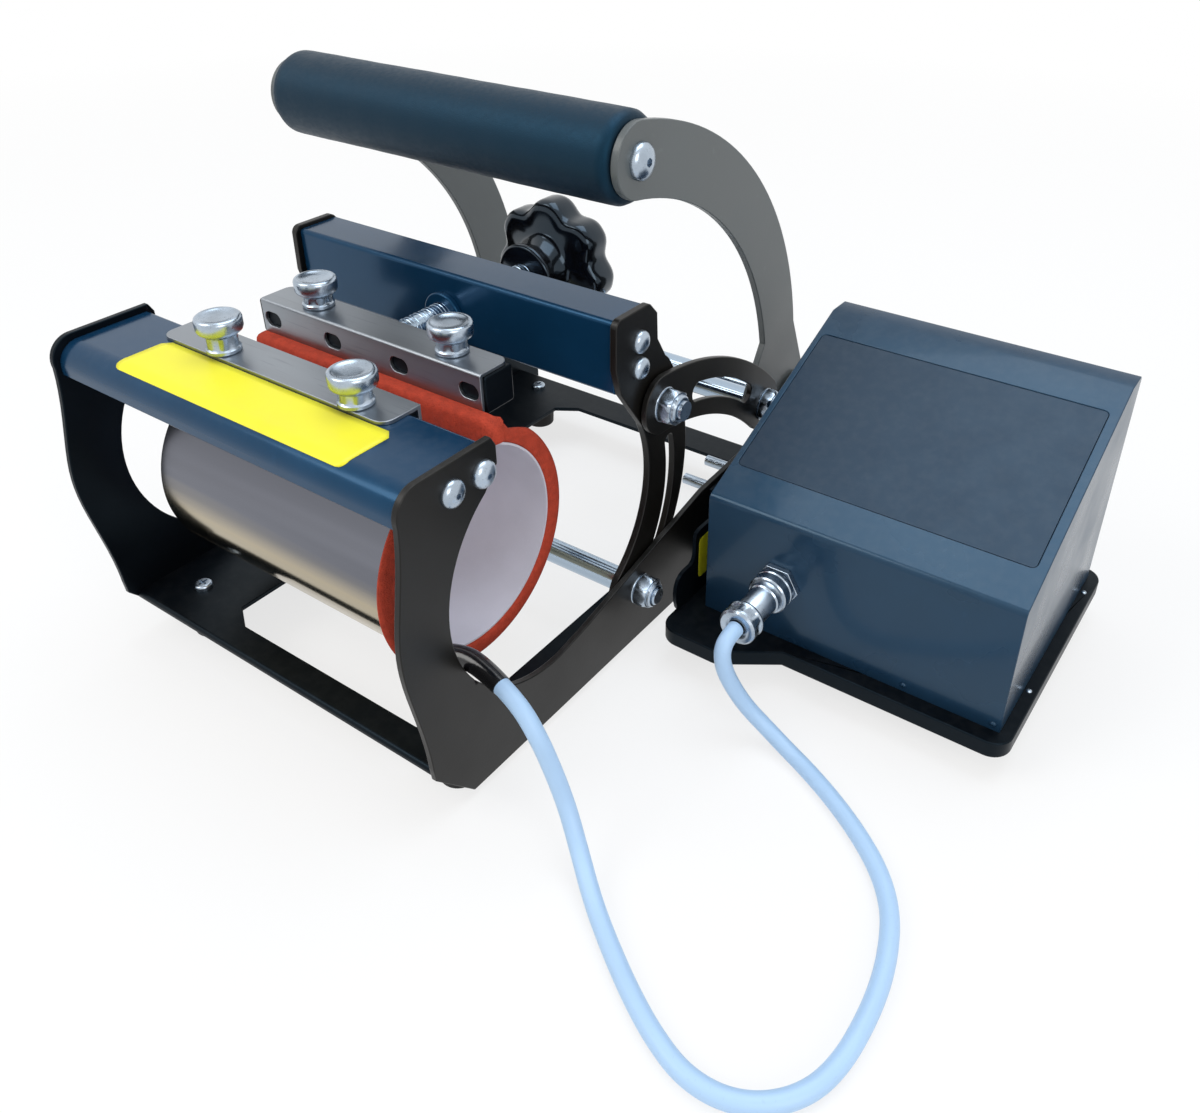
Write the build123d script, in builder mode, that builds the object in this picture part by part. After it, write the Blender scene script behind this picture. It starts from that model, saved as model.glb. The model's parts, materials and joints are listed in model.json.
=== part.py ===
from build123d import *
import math
import os

os.makedirs("parts", exist_ok=True)

# Cylinder heat press for mugs: a two-plate frame holds a wrap-around heater, a toggle
# linkage draws a slotted clamp frame against it, and a control box stands beside it.
# Millimetres. X runs along the mug, Y from the front to the back, Z up.
# The origin is on the mug's axis, midway between the side plates.
# Heights below are measured from the bench and depths from the front reference line;
# the planes below carry both to the origin.

# Mug seat and heater
seat_depth = 22.0
seat_height = 78.0
seat_radius = 39.5
lining_wall = 0.8
foam_wall = 1.9
band_wall = 0.8
heater_middle = -3.0
band_length = 118.0
foam_overhang = 4.0
foam_lip_radius = 48.3
heater_gap_front = 14.0
heater_gap_rear = 35.5

# Frame
plate_gap = 176.0
plate_wall = 2.5
pan_height = 22.4
pan_wall = 2.0
pan_front = -32.0
pan_rear = 222.0
pan_lip = 8.0
pan_window_left = -43.0
pan_window_right = 76.0
pan_window_front = -18.6
pan_window_rear = 203.5
bridge_front = -33.0
bridge_rear = 6.2
bridge_rise = 61.0
bridge_top = seat_height + bridge_rise
bridge_wall = 2.0
bridge_face = 12.0
bridge_bend = 9.0
bridge_return = 9.0
flange_drop = 14.0

# Pivots as depth and height
lower_pivot = (87.0, 29.0)
arm_pin = (104.0, 109.0)
handle_pin = (187.0, 71.5)
rear_pivot = (221.0, 57.0)
grip_centre = (93.0, 206.5)
pivot_rod = 12.0
pin_rod = 10.0
running_clearance = 0.05
side_play = 1.0

# Clamp frame
arm_wall = 3.0
arm_width = 27.0
arm_slot = 6.0
link_wall = 2.5
link_width = 25.0
link_slot = 8.5
handle_width = 27.0
beam_front = 80.0
beam_depth = 20.0
beam_below_screw = 12.0
beam_above_screw = 18.0
beam_wall = 2.0

# Pressure bar and adjusting screw
bar_side = 14.5
bar_front = 40.5
bar_rise = 45.0
bar_bottom = seat_height + bar_rise
bar_length = 122.0
bar_middle = -4.0
angle_wall = 1.5
angle_length = band_length
screw_in_bar = 10.0
screw_height = bar_bottom + screw_in_bar
screw_diameter = 11.0
screw_nose = 6.0
nose_length = 7.0
knob_start = 128.0
knob_hub_length = 15.0
knob_thickness = 16.0
knob_radius = 29.0
knob_lobes = 7
lobe_round = 6.5

# Thumb screws
thumb_thread = 6.0
thumb_head_radius = 10.5
thumb_head_height = 7.0
thumb_neck_radius = 6.0
thumb_neck_height = 9.0
front_thumbs = (-31.0, 38.0)
rear_thumbs = (-37.0, 35.0)
front_thumb_depth = -1.0
tab_front = -6.0

# Handle grip
grip_diameter = 33.0
grip_bore = 24.0
grip_end_gap = 0.4

# Control box
box_left = 113.0
box_right = 240.0
box_front = 103.0
box_rear = 216.0
box_bottom = 19.5
box_front_height = 75.5
box_top_height = 118.5
box_top_depth = 13.0
box_slope_end = box_rear - box_top_depth
box_wall = 1.6
tray_wall = 2.0
tray_left = 104.0
tray_right = 245.0
tray_front = 96.0
tray_rear = 222.0
tray_tab_front = 81.0
tray_tab_right = 132.0
tray_lip = 7.0
socket_x = 146.3
socket_height = 46.5
socket_thread = 14.0
panel_start = 18.0
panel_rear_border = 8.8
panel_width = 112.0
panel_recess = 1.0
rear_height = 48.0
inlet_x = 145.0
inlet_width = 27.0
inlet_height = 20.0
switch_x = 190.0
switch_width = 13.0
switch_height = 19.0
fuse_x = 218.0
tray_foot_spots = [(228.0, 112.0), (228.0, 208.0), (118.0, 208.0)]

# Cable
cable_diameter = 6.5
sleeve_diameter = 8.0
plug_nut = 17.0
plug_barrel = 12.0
clamp_ring = 17.0
clamp_width = 8.0

half_gap = plate_gap / 2
plate_outer = half_gap + plate_wall
arm_outer = half_gap - side_play
arm_inner = arm_outer - arm_wall
lining_outer = seat_radius + lining_wall
gap_width = heater_gap_rear - heater_gap_front
foam_outer = lining_outer + foam_wall
band_outer = foam_outer + band_wall
foot_height = pan_height - pan_wall
bar_top = bar_bottom + bar_side
beam_bottom = screw_height - beam_below_screw
beam_top = screw_height + beam_above_screw
beam_screw_spots = [(92.5, screw_height + 6.5), (92.5, screw_height - 4.5)]
slope_angle = math.degrees(math.atan2(box_top_height - box_front_height, box_slope_end - box_front))
slope_length = math.hypot(box_top_height - box_front_height, box_slope_end - box_front)
panel_length = slope_length - panel_start - panel_rear_border
board_depth = (box_front + box_rear) / 2 + 5.5


def side_plane(x):
    """Plane across X whose sketch axes are depth and height."""
    return Plane(origin=(x, -seat_depth, -seat_height), x_dir=(0, 1, 0), z_dir=(1, 0, 0))


def level_plane(height):
    """Plane at a height above the bench whose sketch axes are X and depth."""
    return Plane(origin=(0, -seat_depth, height - seat_height))


def front_plane(depth):
    """Plane across Y, facing the front, whose sketch axes are X and height."""
    return Plane(origin=(0, depth - seat_depth, -seat_height), x_dir=(1, 0, 0), z_dir=(0, -1, 0))


def finish(builder, name):
    """Label one piece and write it out."""
    builder.part.label = name
    export_step(builder.part, f"parts/{name}.step")


# Side plates: a C that goes round the mug window, on a long low foot
lobe_radius = 15.0
plate_foot = 4.0
bridge_screw_spots = [(-12.6, bridge_top - 8.0), (1.5, bridge_top - 8.3)]
plate_top = bridge_top + 2.5
lacing_hole = (-10.0, 52.5)
box_bolt_spots = [(150.0, 43.5), (169.0, 43.5)]
for side, sign in (("left", -1), ("right", 1)):
    with BuildPart() as cheek:
        with BuildSketch(side_plane(sign * half_gap)):
            with BuildLine():
                Line((6.5, plate_top), (-26.0, plate_top))
                ThreePointArc((-26.0, plate_top), (-32.5, plate_top - 3.0), (-35.0, plate_top - 11.5))
                Spline((-35.0, plate_top - 11.5), (-38.0, 106.0), (-41.2, 84.0), (-38.0, 57.0), (-34.5, 30.0))
                Line((-34.5, 30.0), (-34.0, 24.0))
                Line((-34.0, 24.0), (-17.0, plate_foot))
                Line((-17.0, plate_foot), (228.0, plate_foot))
                Line((228.0, plate_foot), (236.0, 12.0))
                Line((236.0, 12.0), (236.0, rear_pivot[1]))
                ThreePointArc(
                    (236.0, rear_pivot[1]),
                    (rear_pivot[0], rear_pivot[1] + lobe_radius),
                    (206.0, rear_pivot[1]),
                )
                Line((206.0, rear_pivot[1]), (200.0, 55.0))
                Line((200.0, 55.0), (135.0, 51.5))
                Spline((135.0, 51.5), (95.0, 43.0), (50.0, 33.0))
                Line((50.0, 33.0), (34.0, 30.5))
                ThreePointArc((34.0, 30.5), (-19.2, 87.0), (2.0, bridge_top - 16.0))
                Line((2.0, bridge_top - 16.0), (8.5, bridge_top - 8.0))
                Line((8.5, bridge_top - 8.0), (8.5, bridge_top - 1.0))
                Line((8.5, bridge_top - 1.0), (6.5, plate_top))
            make_face()
            with Locations(lower_pivot):
                Circle(pivot_rod / 2 + 0.1, mode=Mode.SUBTRACT)
            with Locations(rear_pivot):
                Circle(pin_rod / 2 + 0.1, mode=Mode.SUBTRACT)
            with Locations(*bridge_screw_spots):
                Circle(2.6, mode=Mode.SUBTRACT)
            if sign > 0:
                with Locations(*box_bolt_spots):
                    Circle(2.7, mode=Mode.SUBTRACT)
                with Locations(lacing_hole):
                    Circle(1.5, mode=Mode.SUBTRACT)
        extrude(amount=sign * plate_wall)
    finish(cheek, f"side_plate_{side}")

# Base pan with its window, its notches for the clamp arms and turned-down lips
arm_notch_depth = side_play + arm_wall + 1.0
arm_notch_front = lower_pivot[0] - arm_width / 2 - 1.5
arm_notch_rear = lower_pivot[0] + arm_width / 2 + 8.5
foot_spots = [(-68.0, -12.0), (78.0, -12.0), (-66.0, 210.0), (78.0, 210.0)]
with BuildPart() as base_pan:
    with BuildSketch(level_plane(pan_height)):
        with BuildLine():
            Polyline(
                (-half_gap, pan_front),
                (half_gap, pan_front),
                (half_gap, pan_rear),
                (-half_gap, pan_rear),
                close=True,
            )
        make_face()
        with BuildLine():
            Polyline(
                (pan_window_left + 11.0, pan_window_front),
                (pan_window_right - 11.0, pan_window_front),
                (pan_window_right, pan_window_front + 7.0),
                (pan_window_right, pan_window_rear - 7.0),
                (pan_window_right - 11.0, pan_window_rear),
                (pan_window_left + 11.0, pan_window_rear),
                (pan_window_left, pan_window_rear - 7.0),
                (pan_window_left, pan_window_front + 7.0),
                close=True,
            )
        make_face(mode=Mode.SUBTRACT)
        arm_notch_middle = (arm_notch_front + arm_notch_rear) / 2
        with Locations((-half_gap, arm_notch_middle), (half_gap, arm_notch_middle)):
            Rectangle(2 * arm_notch_depth, arm_notch_rear - arm_notch_front, mode=Mode.SUBTRACT)
        with Locations(*foot_spots):
            Circle(2.4, mode=Mode.SUBTRACT)
    extrude(amount=-pan_wall)
    with BuildSketch(level_plane(pan_height - pan_wall)):
        with Locations((0, pan_front + pan_wall / 2), (0, pan_rear - pan_wall / 2)):
            Rectangle(plate_gap, pan_wall)
    extrude(amount=-pan_lip)
    outer_bends = base_pan.edges().filter_by(Axis.X).group_by(Axis.Z)[-1]
    fillet([outer_bends.sort_by(Axis.Y)[0], outer_bends.sort_by(Axis.Y)[-1]], 1.8)
finish(base_pan, "base_pan")

# Feet and their screws
with BuildPart() as rubber_feet:
    with BuildSketch(level_plane(0)):
        with Locations(*foot_spots):
            Circle(7.6)
    extrude(amount=foot_height, taper=-3)
    rims = rubber_feet.edges().filter_by(GeomType.CIRCLE).group_by(Axis.Z)[0]
    fillet(rims, 1.0)
finish(rubber_feet, "rubber_feet")

with BuildPart() as foot_screws:
    with BuildSketch(level_plane(pan_height)):
        with Locations(*foot_spots):
            Circle(3.8)
    extrude(amount=2.2)
    tops = foot_screws.edges().filter_by(GeomType.CIRCLE).group_by(Axis.Z)[-1]
    fillet(tops, 1.2)
    with BuildSketch(level_plane(pan_height + 2.2)):
        with Locations(*foot_spots):
            Rectangle(4.2, 0.9)
            Rectangle(0.9, 4.2)
    extrude(amount=-1.1, mode=Mode.SUBTRACT)
finish(foot_screws, "foot_screws")

# Front bridge: a folded sheet with end flanges that the bridge screws pass
with BuildPart() as front_bridge:
    with BuildSketch(side_plane(-half_gap)):
        with BuildLine():
            Polyline(
                (bridge_rear, bridge_top - bridge_return),
                (bridge_rear, bridge_top),
                (bridge_front, bridge_top),
                (bridge_front, bridge_top - bridge_face),
                (bridge_front + bridge_wall, bridge_top - bridge_face),
                (bridge_front + bridge_wall, bridge_top - bridge_wall),
                (bridge_rear - bridge_wall, bridge_top - bridge_wall),
                (bridge_rear - bridge_wall, bridge_top - bridge_return),
                close=True,
            )
        make_face()
        fillet(vertices().sort_by_distance((bridge_front, bridge_top))[0], bridge_bend)
        inner_corner = (bridge_front + bridge_wall, bridge_top - bridge_wall)
        fillet(vertices().sort_by_distance(inner_corner)[0], bridge_bend - bridge_wall)
        fillet(vertices().sort_by_distance((bridge_rear, bridge_top))[0], bridge_wall - 0.2)
    extrude(amount=plate_gap)
    for sign in (-1, 1):
        with BuildSketch(side_plane(sign * half_gap)):
            with BuildLine():
                Polyline(
                    (bridge_front + bridge_bend, bridge_top - bridge_wall),
                    (bridge_rear - bridge_wall, bridge_top - bridge_wall),
                    (bridge_rear - bridge_wall, bridge_top - flange_drop),
                    (bridge_front + bridge_bend + 7.0, bridge_top - flange_drop),
                    close=True,
                )
            make_face()
            with Locations(*bridge_screw_spots):
                Circle(2.2, mode=Mode.SUBTRACT)
        extrude(amount=-sign * bridge_wall)
    with BuildSketch(level_plane(bridge_top)):
        with Locations(*[(x, front_thumb_depth) for x in front_thumbs]):
            Circle(thumb_thread / 2 + running_clearance)
    extrude(amount=-bridge_wall, mode=Mode.SUBTRACT)
finish(front_bridge, "front_bridge")

# Dome-head screws of the bridge and of the beam
def dome_screws(name, x, spots, head_radius, shank_radius, shank_length):
    """Dome-head screws on both sides, with their shanks pointing inwards."""
    with BuildPart() as screws:
        for sign in (-1, 1):
            with BuildSketch(side_plane(sign * x)):
                with Locations(*spots):
                    Circle(head_radius)
            extrude(amount=sign * 3.0)
            ends = screws.edges().filter_by(GeomType.CIRCLE).group_by(Axis.X)
            fillet(ends[-1] if sign > 0 else ends[0], 1.9)
            with BuildSketch(side_plane(sign * (x + 3.0))):
                with Locations(*spots):
                    RegularPolygon(head_radius * 0.45, 6)
            extrude(amount=-sign * 1.5, mode=Mode.SUBTRACT)
            with BuildSketch(side_plane(sign * x)):
                with Locations(*spots):
                    Circle(shank_radius)
            extrude(amount=-sign * shank_length)
    finish(screws, name)


dome_screws("bridge_screws", plate_outer, bridge_screw_spots, 5.0, 2.2, plate_wall + bridge_wall + 2.0)


# Lock nuts: washer, hexagon and nylon collar
def lock_nuts(name, spots, bore, across, thickness):
    """Washer, hexagon and nylon collar over each end of a rod, as a group."""
    with BuildPart() as nuts:
        for sign in (-1, 1):
            for x, spot in spots:
                start = sign * x
                with BuildSketch(side_plane(start)):
                    with Locations(spot):
                        Circle(across * 0.62)
                        Circle(bore / 2, mode=Mode.SUBTRACT)
                extrude(amount=sign * 1.2)
                with BuildSketch(side_plane(start + sign * 1.2)):
                    with Locations(spot):
                        RegularPolygon(across / 2, 6, major_radius=False)
                        Circle(bore / 2, mode=Mode.SUBTRACT)
                extrude(amount=sign * thickness)
                with BuildSketch(side_plane(start + sign * (1.2 + thickness))):
                    with Locations(spot):
                        Circle(across * 0.46)
                        Circle(bore / 2, mode=Mode.SUBTRACT)
                extrude(amount=sign * 1.8, taper=12)
    finish(nuts, name)


def rod(name, spot, diameter, reach):
    """Round rod along X with turned ends."""
    with BuildPart() as bar:
        with BuildSketch(side_plane(-reach)):
            with Locations(spot):
                Circle(diameter / 2)
        extrude(amount=2 * reach)
        ends = bar.edges().filter_by(GeomType.CIRCLE)
        chamfer([ends.sort_by(Axis.X)[0], ends.sort_by(Axis.X)[-1]], 0.8)
    finish(bar, name)


rod("lower_pivot_rod", lower_pivot, pivot_rod, plate_outer + 11.5)
lock_nuts("lower_pivot_nuts", [(plate_outer, lower_pivot)], pivot_rod, 18.0, 7.0)
rod("rear_pivot_rod", rear_pivot, pin_rod, plate_outer + 9.5)
lock_nuts("rear_pivot_nuts", [(plate_outer, rear_pivot)], pin_rod, 16.0, 5.5)

# Slotted clamp arms: a banana strap that swells into a head at the beam
for side, sign in (("left", -1), ("right", 1)):
    with BuildPart() as arm:
        with BuildSketch(side_plane(sign * arm_inner)):
            with BuildLine(mode=Mode.PRIVATE) as spine:
                ThreePointArc(lower_pivot, (arm_pin[0] + 8.0, 74.0), (arm_pin[0] - 2.0, arm_pin[1] + 7.0))
            SlotArc(spine.edges()[0], arm_width)
            with BuildLine():
                Polyline(
                    (beam_front - 2.5, screw_height),
                    (beam_front - 2.0, beam_top + 1.5),
                    (beam_front + 19.0, beam_top + 1.5),
                    (beam_front + 24.0, beam_top - 4.0),
                    (beam_front + 24.5, screw_height + 3.0),
                    (arm_pin[0] + 12.5, arm_pin[1] + 7.0),
                    (arm_pin[0] - 8.0, arm_pin[1] - 9.0),
                    (beam_front + 0.5, beam_bottom + 1.0),
                    close=True,
                )
            make_face()
            head_corners = [(beam_front - 2.0, beam_top + 1.5), (beam_front + 19.0, beam_top + 1.5)]
            for corner in head_corners:
                fillet(vertices().sort_by_distance(corner)[0], 3.5)
            with BuildLine(mode=Mode.PRIVATE) as slot_line:
                ThreePointArc((105.5, 42.5), (113.3, 64.0), (113.3, 87.0))
            SlotArc(slot_line.edges()[0], arm_slot, mode=Mode.SUBTRACT)
            with Locations(lower_pivot):
                Circle(pivot_rod / 2 + running_clearance, mode=Mode.SUBTRACT)
            with Locations(*beam_screw_spots):
                Circle(2.2, mode=Mode.SUBTRACT)
        extrude(amount=sign * arm_wall)
    finish(arm, f"clamp_arm_{side}")

# Rear beam: an open channel between the clamp arms, with end flanges
with BuildPart() as rear_beam:
    with BuildSketch(side_plane(-arm_inner)):
        with BuildLine():
            Polyline(
                (beam_front, beam_bottom),
                (beam_front, beam_top),
                (beam_front + beam_depth, beam_top),
                (beam_front + beam_depth, beam_top - beam_wall),
                (beam_front + beam_wall, beam_top - beam_wall),
                (beam_front + beam_wall, beam_bottom + beam_wall),
                (beam_front + beam_depth, beam_bottom + beam_wall),
                (beam_front + beam_depth, beam_bottom),
                close=True,
            )
        make_face()
    extrude(amount=2 * arm_inner)
    long_edges = rear_beam.edges().filter_by(Axis.X).group_by(Axis.Y)[0]
    fillet(long_edges, 1.9)
    for sign in (-1, 1):
        with BuildSketch(side_plane(sign * arm_inner)):
            with Locations((beam_front + beam_depth / 2, (beam_top + beam_bottom) / 2)):
                Rectangle(beam_depth - 2 * beam_wall, beam_top - beam_bottom - beam_wall)
            with Locations(*beam_screw_spots):
                Circle(2.2, mode=Mode.SUBTRACT)
        extrude(amount=-sign * beam_wall)
    with BuildSketch(front_plane(beam_front)):
        with Locations((0, screw_height)):
            Circle(screw_diameter / 2 + 2.0)
    extrude(amount=-beam_wall, mode=Mode.SUBTRACT)
finish(rear_beam, "rear_beam")
dome_screws("beam_screws", arm_outer, beam_screw_spots, 4.3, 2.2, arm_wall + beam_wall + 1.5)

# Threaded bush in the beam's front wall
with BuildPart() as beam_bush:
    with BuildSketch(front_plane(beam_front)):
        with Locations((0, screw_height)):
            Circle(9.5)
            Circle(screw_diameter / 2 + running_clearance, mode=Mode.SUBTRACT)
    extrude(amount=2.5)
    rim = beam_bush.edges().filter_by(GeomType.CIRCLE).group_by(Axis.Y)[0].sort_by(SortBy.RADIUS)[-1]
    fillet(rim, 0.9)
    with BuildSketch(front_plane(beam_front)):
        with Locations((0, screw_height)):
            Circle(screw_diameter / 2 + 2.0)
            Circle(screw_diameter / 2 + running_clearance, mode=Mode.SUBTRACT)
    extrude(amount=-14.0)
finish(beam_bush, "beam_bush")

# Square pressure bar behind the heater's rear angle
with BuildPart() as pressure_bar:
    with BuildSketch(side_plane(bar_middle - bar_length / 2)):
        with Locations((bar_front + bar_side / 2, bar_bottom + bar_side / 2)):
            RectangleRounded(bar_side, bar_side, 1.2)
    extrude(amount=bar_length)
    with BuildSketch(level_plane(bar_top)):
        with Locations(*[(x, bar_front + bar_side / 2) for x in rear_thumbs]):
            Circle(thumb_thread / 2 + running_clearance)
    extrude(amount=-bar_side, mode=Mode.SUBTRACT)
    with BuildSketch(front_plane(bar_front + bar_side)):
        with Locations((0, screw_height)):
            Circle(screw_nose / 2 + running_clearance)
    extrude(amount=8.0, mode=Mode.SUBTRACT)
finish(pressure_bar, "pressure_bar")

# Adjusting screw: threaded rod with a turned nose held in the bar
with BuildPart() as adjusting_screw:
    with BuildSketch(front_plane(bar_front + bar_side)):
        with Locations((0, screw_height)):
            Circle(screw_diameter / 2)
    extrude(amount=-(knob_start + knob_hub_length + 4.0 - bar_front - bar_side))
    with BuildSketch(front_plane(bar_front + bar_side)):
        with Locations((0, screw_height)):
            Circle(screw_nose / 2)
    extrude(amount=nose_length)
finish(adjusting_screw, "adjusting_screw")

# Lobed knob: stepped hub and a star with rounded lobes and hollows
with BuildPart() as star_knob:
    with BuildSketch(front_plane(knob_start)):
        with Locations((0, screw_height)):
            Circle(14.0)
            Circle(screw_diameter / 2, mode=Mode.SUBTRACT)
    extrude(amount=-4.0)
    with BuildSketch(front_plane(knob_start + 4.0)):
        with Locations((0, screw_height)):
            Circle(11.5)
            Circle(screw_diameter / 2, mode=Mode.SUBTRACT)
    extrude(amount=-(knob_hub_length - 4.0))
    with BuildSketch(front_plane(knob_start + knob_hub_length)):
        with Locations((0, screw_height)):
            Circle(knob_radius - 5.5)
            with PolarLocations(knob_radius - lobe_round, knob_lobes):
                Circle(lobe_round)
            with PolarLocations(knob_radius + 2.5, knob_lobes, start_angle=180.0 / knob_lobes):
                Circle(6.5, mode=Mode.SUBTRACT)
    extrude(amount=-knob_thickness)
    star_faces = star_knob.faces().filter_by(Axis.Y).sort_by(Axis.Y)
    fillet(star_faces[-1].outer_wire().edges(), 2.2)
    with BuildSketch(front_plane(knob_start)):
        with Locations((0, screw_height)):
            Circle(screw_diameter / 2)
    extrude(amount=-(knob_hub_length + 4.0), mode=Mode.SUBTRACT)
finish(star_knob, "star_knob")

# Thumb screws: thick round head, waisted neck and threaded shank
def thumb_screw(name, x, depth, seat, shank):
    """One thumb screw standing on a seat height."""
    with BuildPart() as screw:
        with BuildSketch(Plane(origin=(x, depth - seat_depth, 0), x_dir=(1, 0, 0), z_dir=(0, -1, 0))):
            base = seat - seat_height
            with BuildLine():
                Polyline(
                    (0, base - shank),
                    (thumb_thread / 2, base - shank),
                    (thumb_thread / 2, base),
                    (thumb_neck_radius + 1.5, base),
                    (thumb_neck_radius + 1.5, base + 1.5),
                    (thumb_neck_radius, base + 2.5),
                    (thumb_neck_radius - 1.0, base + thumb_neck_height),
                    (thumb_head_radius, base + thumb_neck_height + 1.0),
                    (thumb_head_radius, base + thumb_neck_height + thumb_head_height),
                    (0, base + thumb_neck_height + thumb_head_height),
                    close=True,
                )
            make_face()
            head_top = base + thumb_neck_height + thumb_head_height
            fillet(vertices().sort_by_distance((thumb_head_radius, head_top))[0], 2.0)
            rim_low = (thumb_head_radius, base + thumb_neck_height + 1.0)
            fillet(vertices().sort_by_distance(rim_low)[0], 1.6)
        revolve(axis=Axis((x, depth - seat_depth, 0), (0, 0, 1)))
    finish(screw, name)


tab_seat = bridge_top + angle_wall
angle_seat = bar_top + angle_wall
front_names = ("thumb_screw_front_left", "thumb_screw_front_right")
for name, x in zip(front_names, front_thumbs):
    thumb_screw(name, x, front_thumb_depth, tab_seat, bridge_wall + angle_wall + 6.0)
rear_names = ("thumb_screw_rear_left", "thumb_screw_rear_right")
for name, x in zip(rear_names, rear_thumbs):
    thumb_screw(name, x, bar_front + bar_side / 2, angle_seat, angle_wall + bar_side - 1.0)


# Heater wall: a C round the mug whose two ends stand up on both sides of the gap
def heater_layer(name, inner, outer, length, front_top, rear_top):
    """One layer of the wrap between two radii, with its flanges at the gap."""
    shift_in = inner - seat_radius
    shift_out = outer - seat_radius
    with BuildPart() as layer:
        with BuildSketch(side_plane(heater_middle - length / 2)):
            with Locations((seat_depth, seat_height)):
                Circle(outer)
            with BuildLine():
                Polyline(
                    (heater_gap_front - shift_out, seat_height),
                    (heater_gap_front - shift_out, front_top),
                    (heater_gap_front - shift_in, front_top),
                    (heater_gap_front - shift_in, seat_height),
                    close=True,
                )
            make_face()
            with BuildLine():
                Polyline(
                    (heater_gap_rear + shift_in, seat_height),
                    (heater_gap_rear + shift_in, rear_top),
                    (heater_gap_rear + shift_out, rear_top),
                    (heater_gap_rear + shift_out, seat_height),
                    close=True,
                )
            make_face()
            with BuildLine():
                Polyline(
                    (heater_gap_front - shift_in, seat_height),
                    (heater_gap_front - shift_in, seat_height + 2 * seat_radius),
                    (heater_gap_rear + shift_in, seat_height + 2 * seat_radius),
                    (heater_gap_rear + shift_in, seat_height),
                    close=True,
                )
            make_face(mode=Mode.SUBTRACT)
            with Locations((seat_depth, seat_height)):
                Circle(inner, mode=Mode.SUBTRACT)
        extrude(amount=length)
        if name == "heater_foam":
            lip_width = foam_lip_radius - inner
            for sign in (-1, 1):
                lip_middle = heater_middle + sign * (band_length + foam_overhang) / 2
                with BuildSketch(Plane.XZ):
                    with Locations((lip_middle, inner + lip_width / 2)):
                        RectangleRounded(foam_overhang, lip_width, foam_overhang * 0.48)
                    with Locations((lip_middle, inner + lip_width / 4)):
                        Rectangle(foam_overhang, lip_width / 2)
                revolve(axis=Axis.X)
            with BuildSketch(side_plane(heater_middle - length / 2)):
                with Locations(((heater_gap_front + heater_gap_rear) / 2, seat_height + seat_radius)):
                    Rectangle(gap_width + 2 * shift_in, 2 * seat_radius)
            extrude(amount=length, mode=Mode.SUBTRACT)
    finish(layer, name)


foam_length = band_length + 2 * foam_overhang
foam_end = heater_middle + foam_length / 2
heater_layer("heater_lining", seat_radius, lining_outer, foam_length, bar_bottom + 8.0, bar_bottom)
heater_layer("heater_foam", lining_outer, foam_outer, foam_length, bar_bottom + 9.0, bar_bottom + 1.0)
heater_layer("heater_band", foam_outer, band_outer, band_length, bridge_top - 2.0, bar_bottom + 4.0)

# Front steel tab: lies on the bridge and is welded to the band's front flange
tab_rear = heater_gap_front - (band_outer - seat_radius)
with BuildPart() as heater_front_tab:
    with BuildSketch(side_plane(heater_middle - angle_length / 2)):
        with BuildLine():
            Polyline(
                (tab_rear, bridge_top - 18.0),
                (tab_rear, bridge_top + angle_wall),
                (tab_front, bridge_top + angle_wall),
                (tab_front, bridge_top),
                (tab_rear - angle_wall, bridge_top),
                (tab_rear - angle_wall, bridge_top - 18.0),
                close=True,
            )
        make_face()
    extrude(amount=angle_length)
    top_corners = heater_front_tab.edges().filter_by(Axis.Z).group_by(Axis.Y)[0]
    fillet(top_corners, 5.0)
    with BuildSketch(level_plane(bridge_top)):
        with Locations(*[(x, front_thumb_depth) for x in front_thumbs]):
            Circle(thumb_thread / 2 + running_clearance)
    extrude(amount=angle_wall, mode=Mode.SUBTRACT)
finish(heater_front_tab, "heater_front_tab")

# Rear steel angle: slotted face in front of the bar, top held by the rear thumb screws
angle_front = bar_front - angle_wall
with BuildPart() as heater_rear_angle:
    with BuildSketch(side_plane(heater_middle - angle_length / 2)):
        with BuildLine():
            Polyline(
                (angle_front, bar_bottom + 1.0),
                (angle_front, bar_top + angle_wall),
                (bar_front + bar_side, bar_top + angle_wall),
                (bar_front + bar_side, bar_top),
                (bar_front, bar_top),
                (bar_front, bar_bottom + 1.0),
                close=True,
            )
        make_face()
        fillet(vertices().sort_by_distance((angle_front, bar_top + angle_wall))[0], 1.2)
    extrude(amount=angle_length)
    back_corners = heater_rear_angle.edges().filter_by(Axis.Z).group_by(Axis.Y)[-1]
    fillet(back_corners, 4.0)
    with BuildSketch(front_plane(angle_front)):
        with Locations(*[(heater_middle + x, bar_bottom + bar_side * 0.55) for x in (-53, -18, 18, 53)]):
            SlotOverall(7.5, 4.6)
    extrude(amount=-angle_wall, mode=Mode.SUBTRACT)
    with BuildSketch(level_plane(bar_top)):
        with Locations(*[(x, bar_front + bar_side / 2) for x in rear_thumbs]):
            Circle(thumb_thread / 2 + running_clearance)
    extrude(amount=angle_wall, mode=Mode.SUBTRACT)
finish(heater_rear_angle, "heater_rear_angle")

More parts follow.
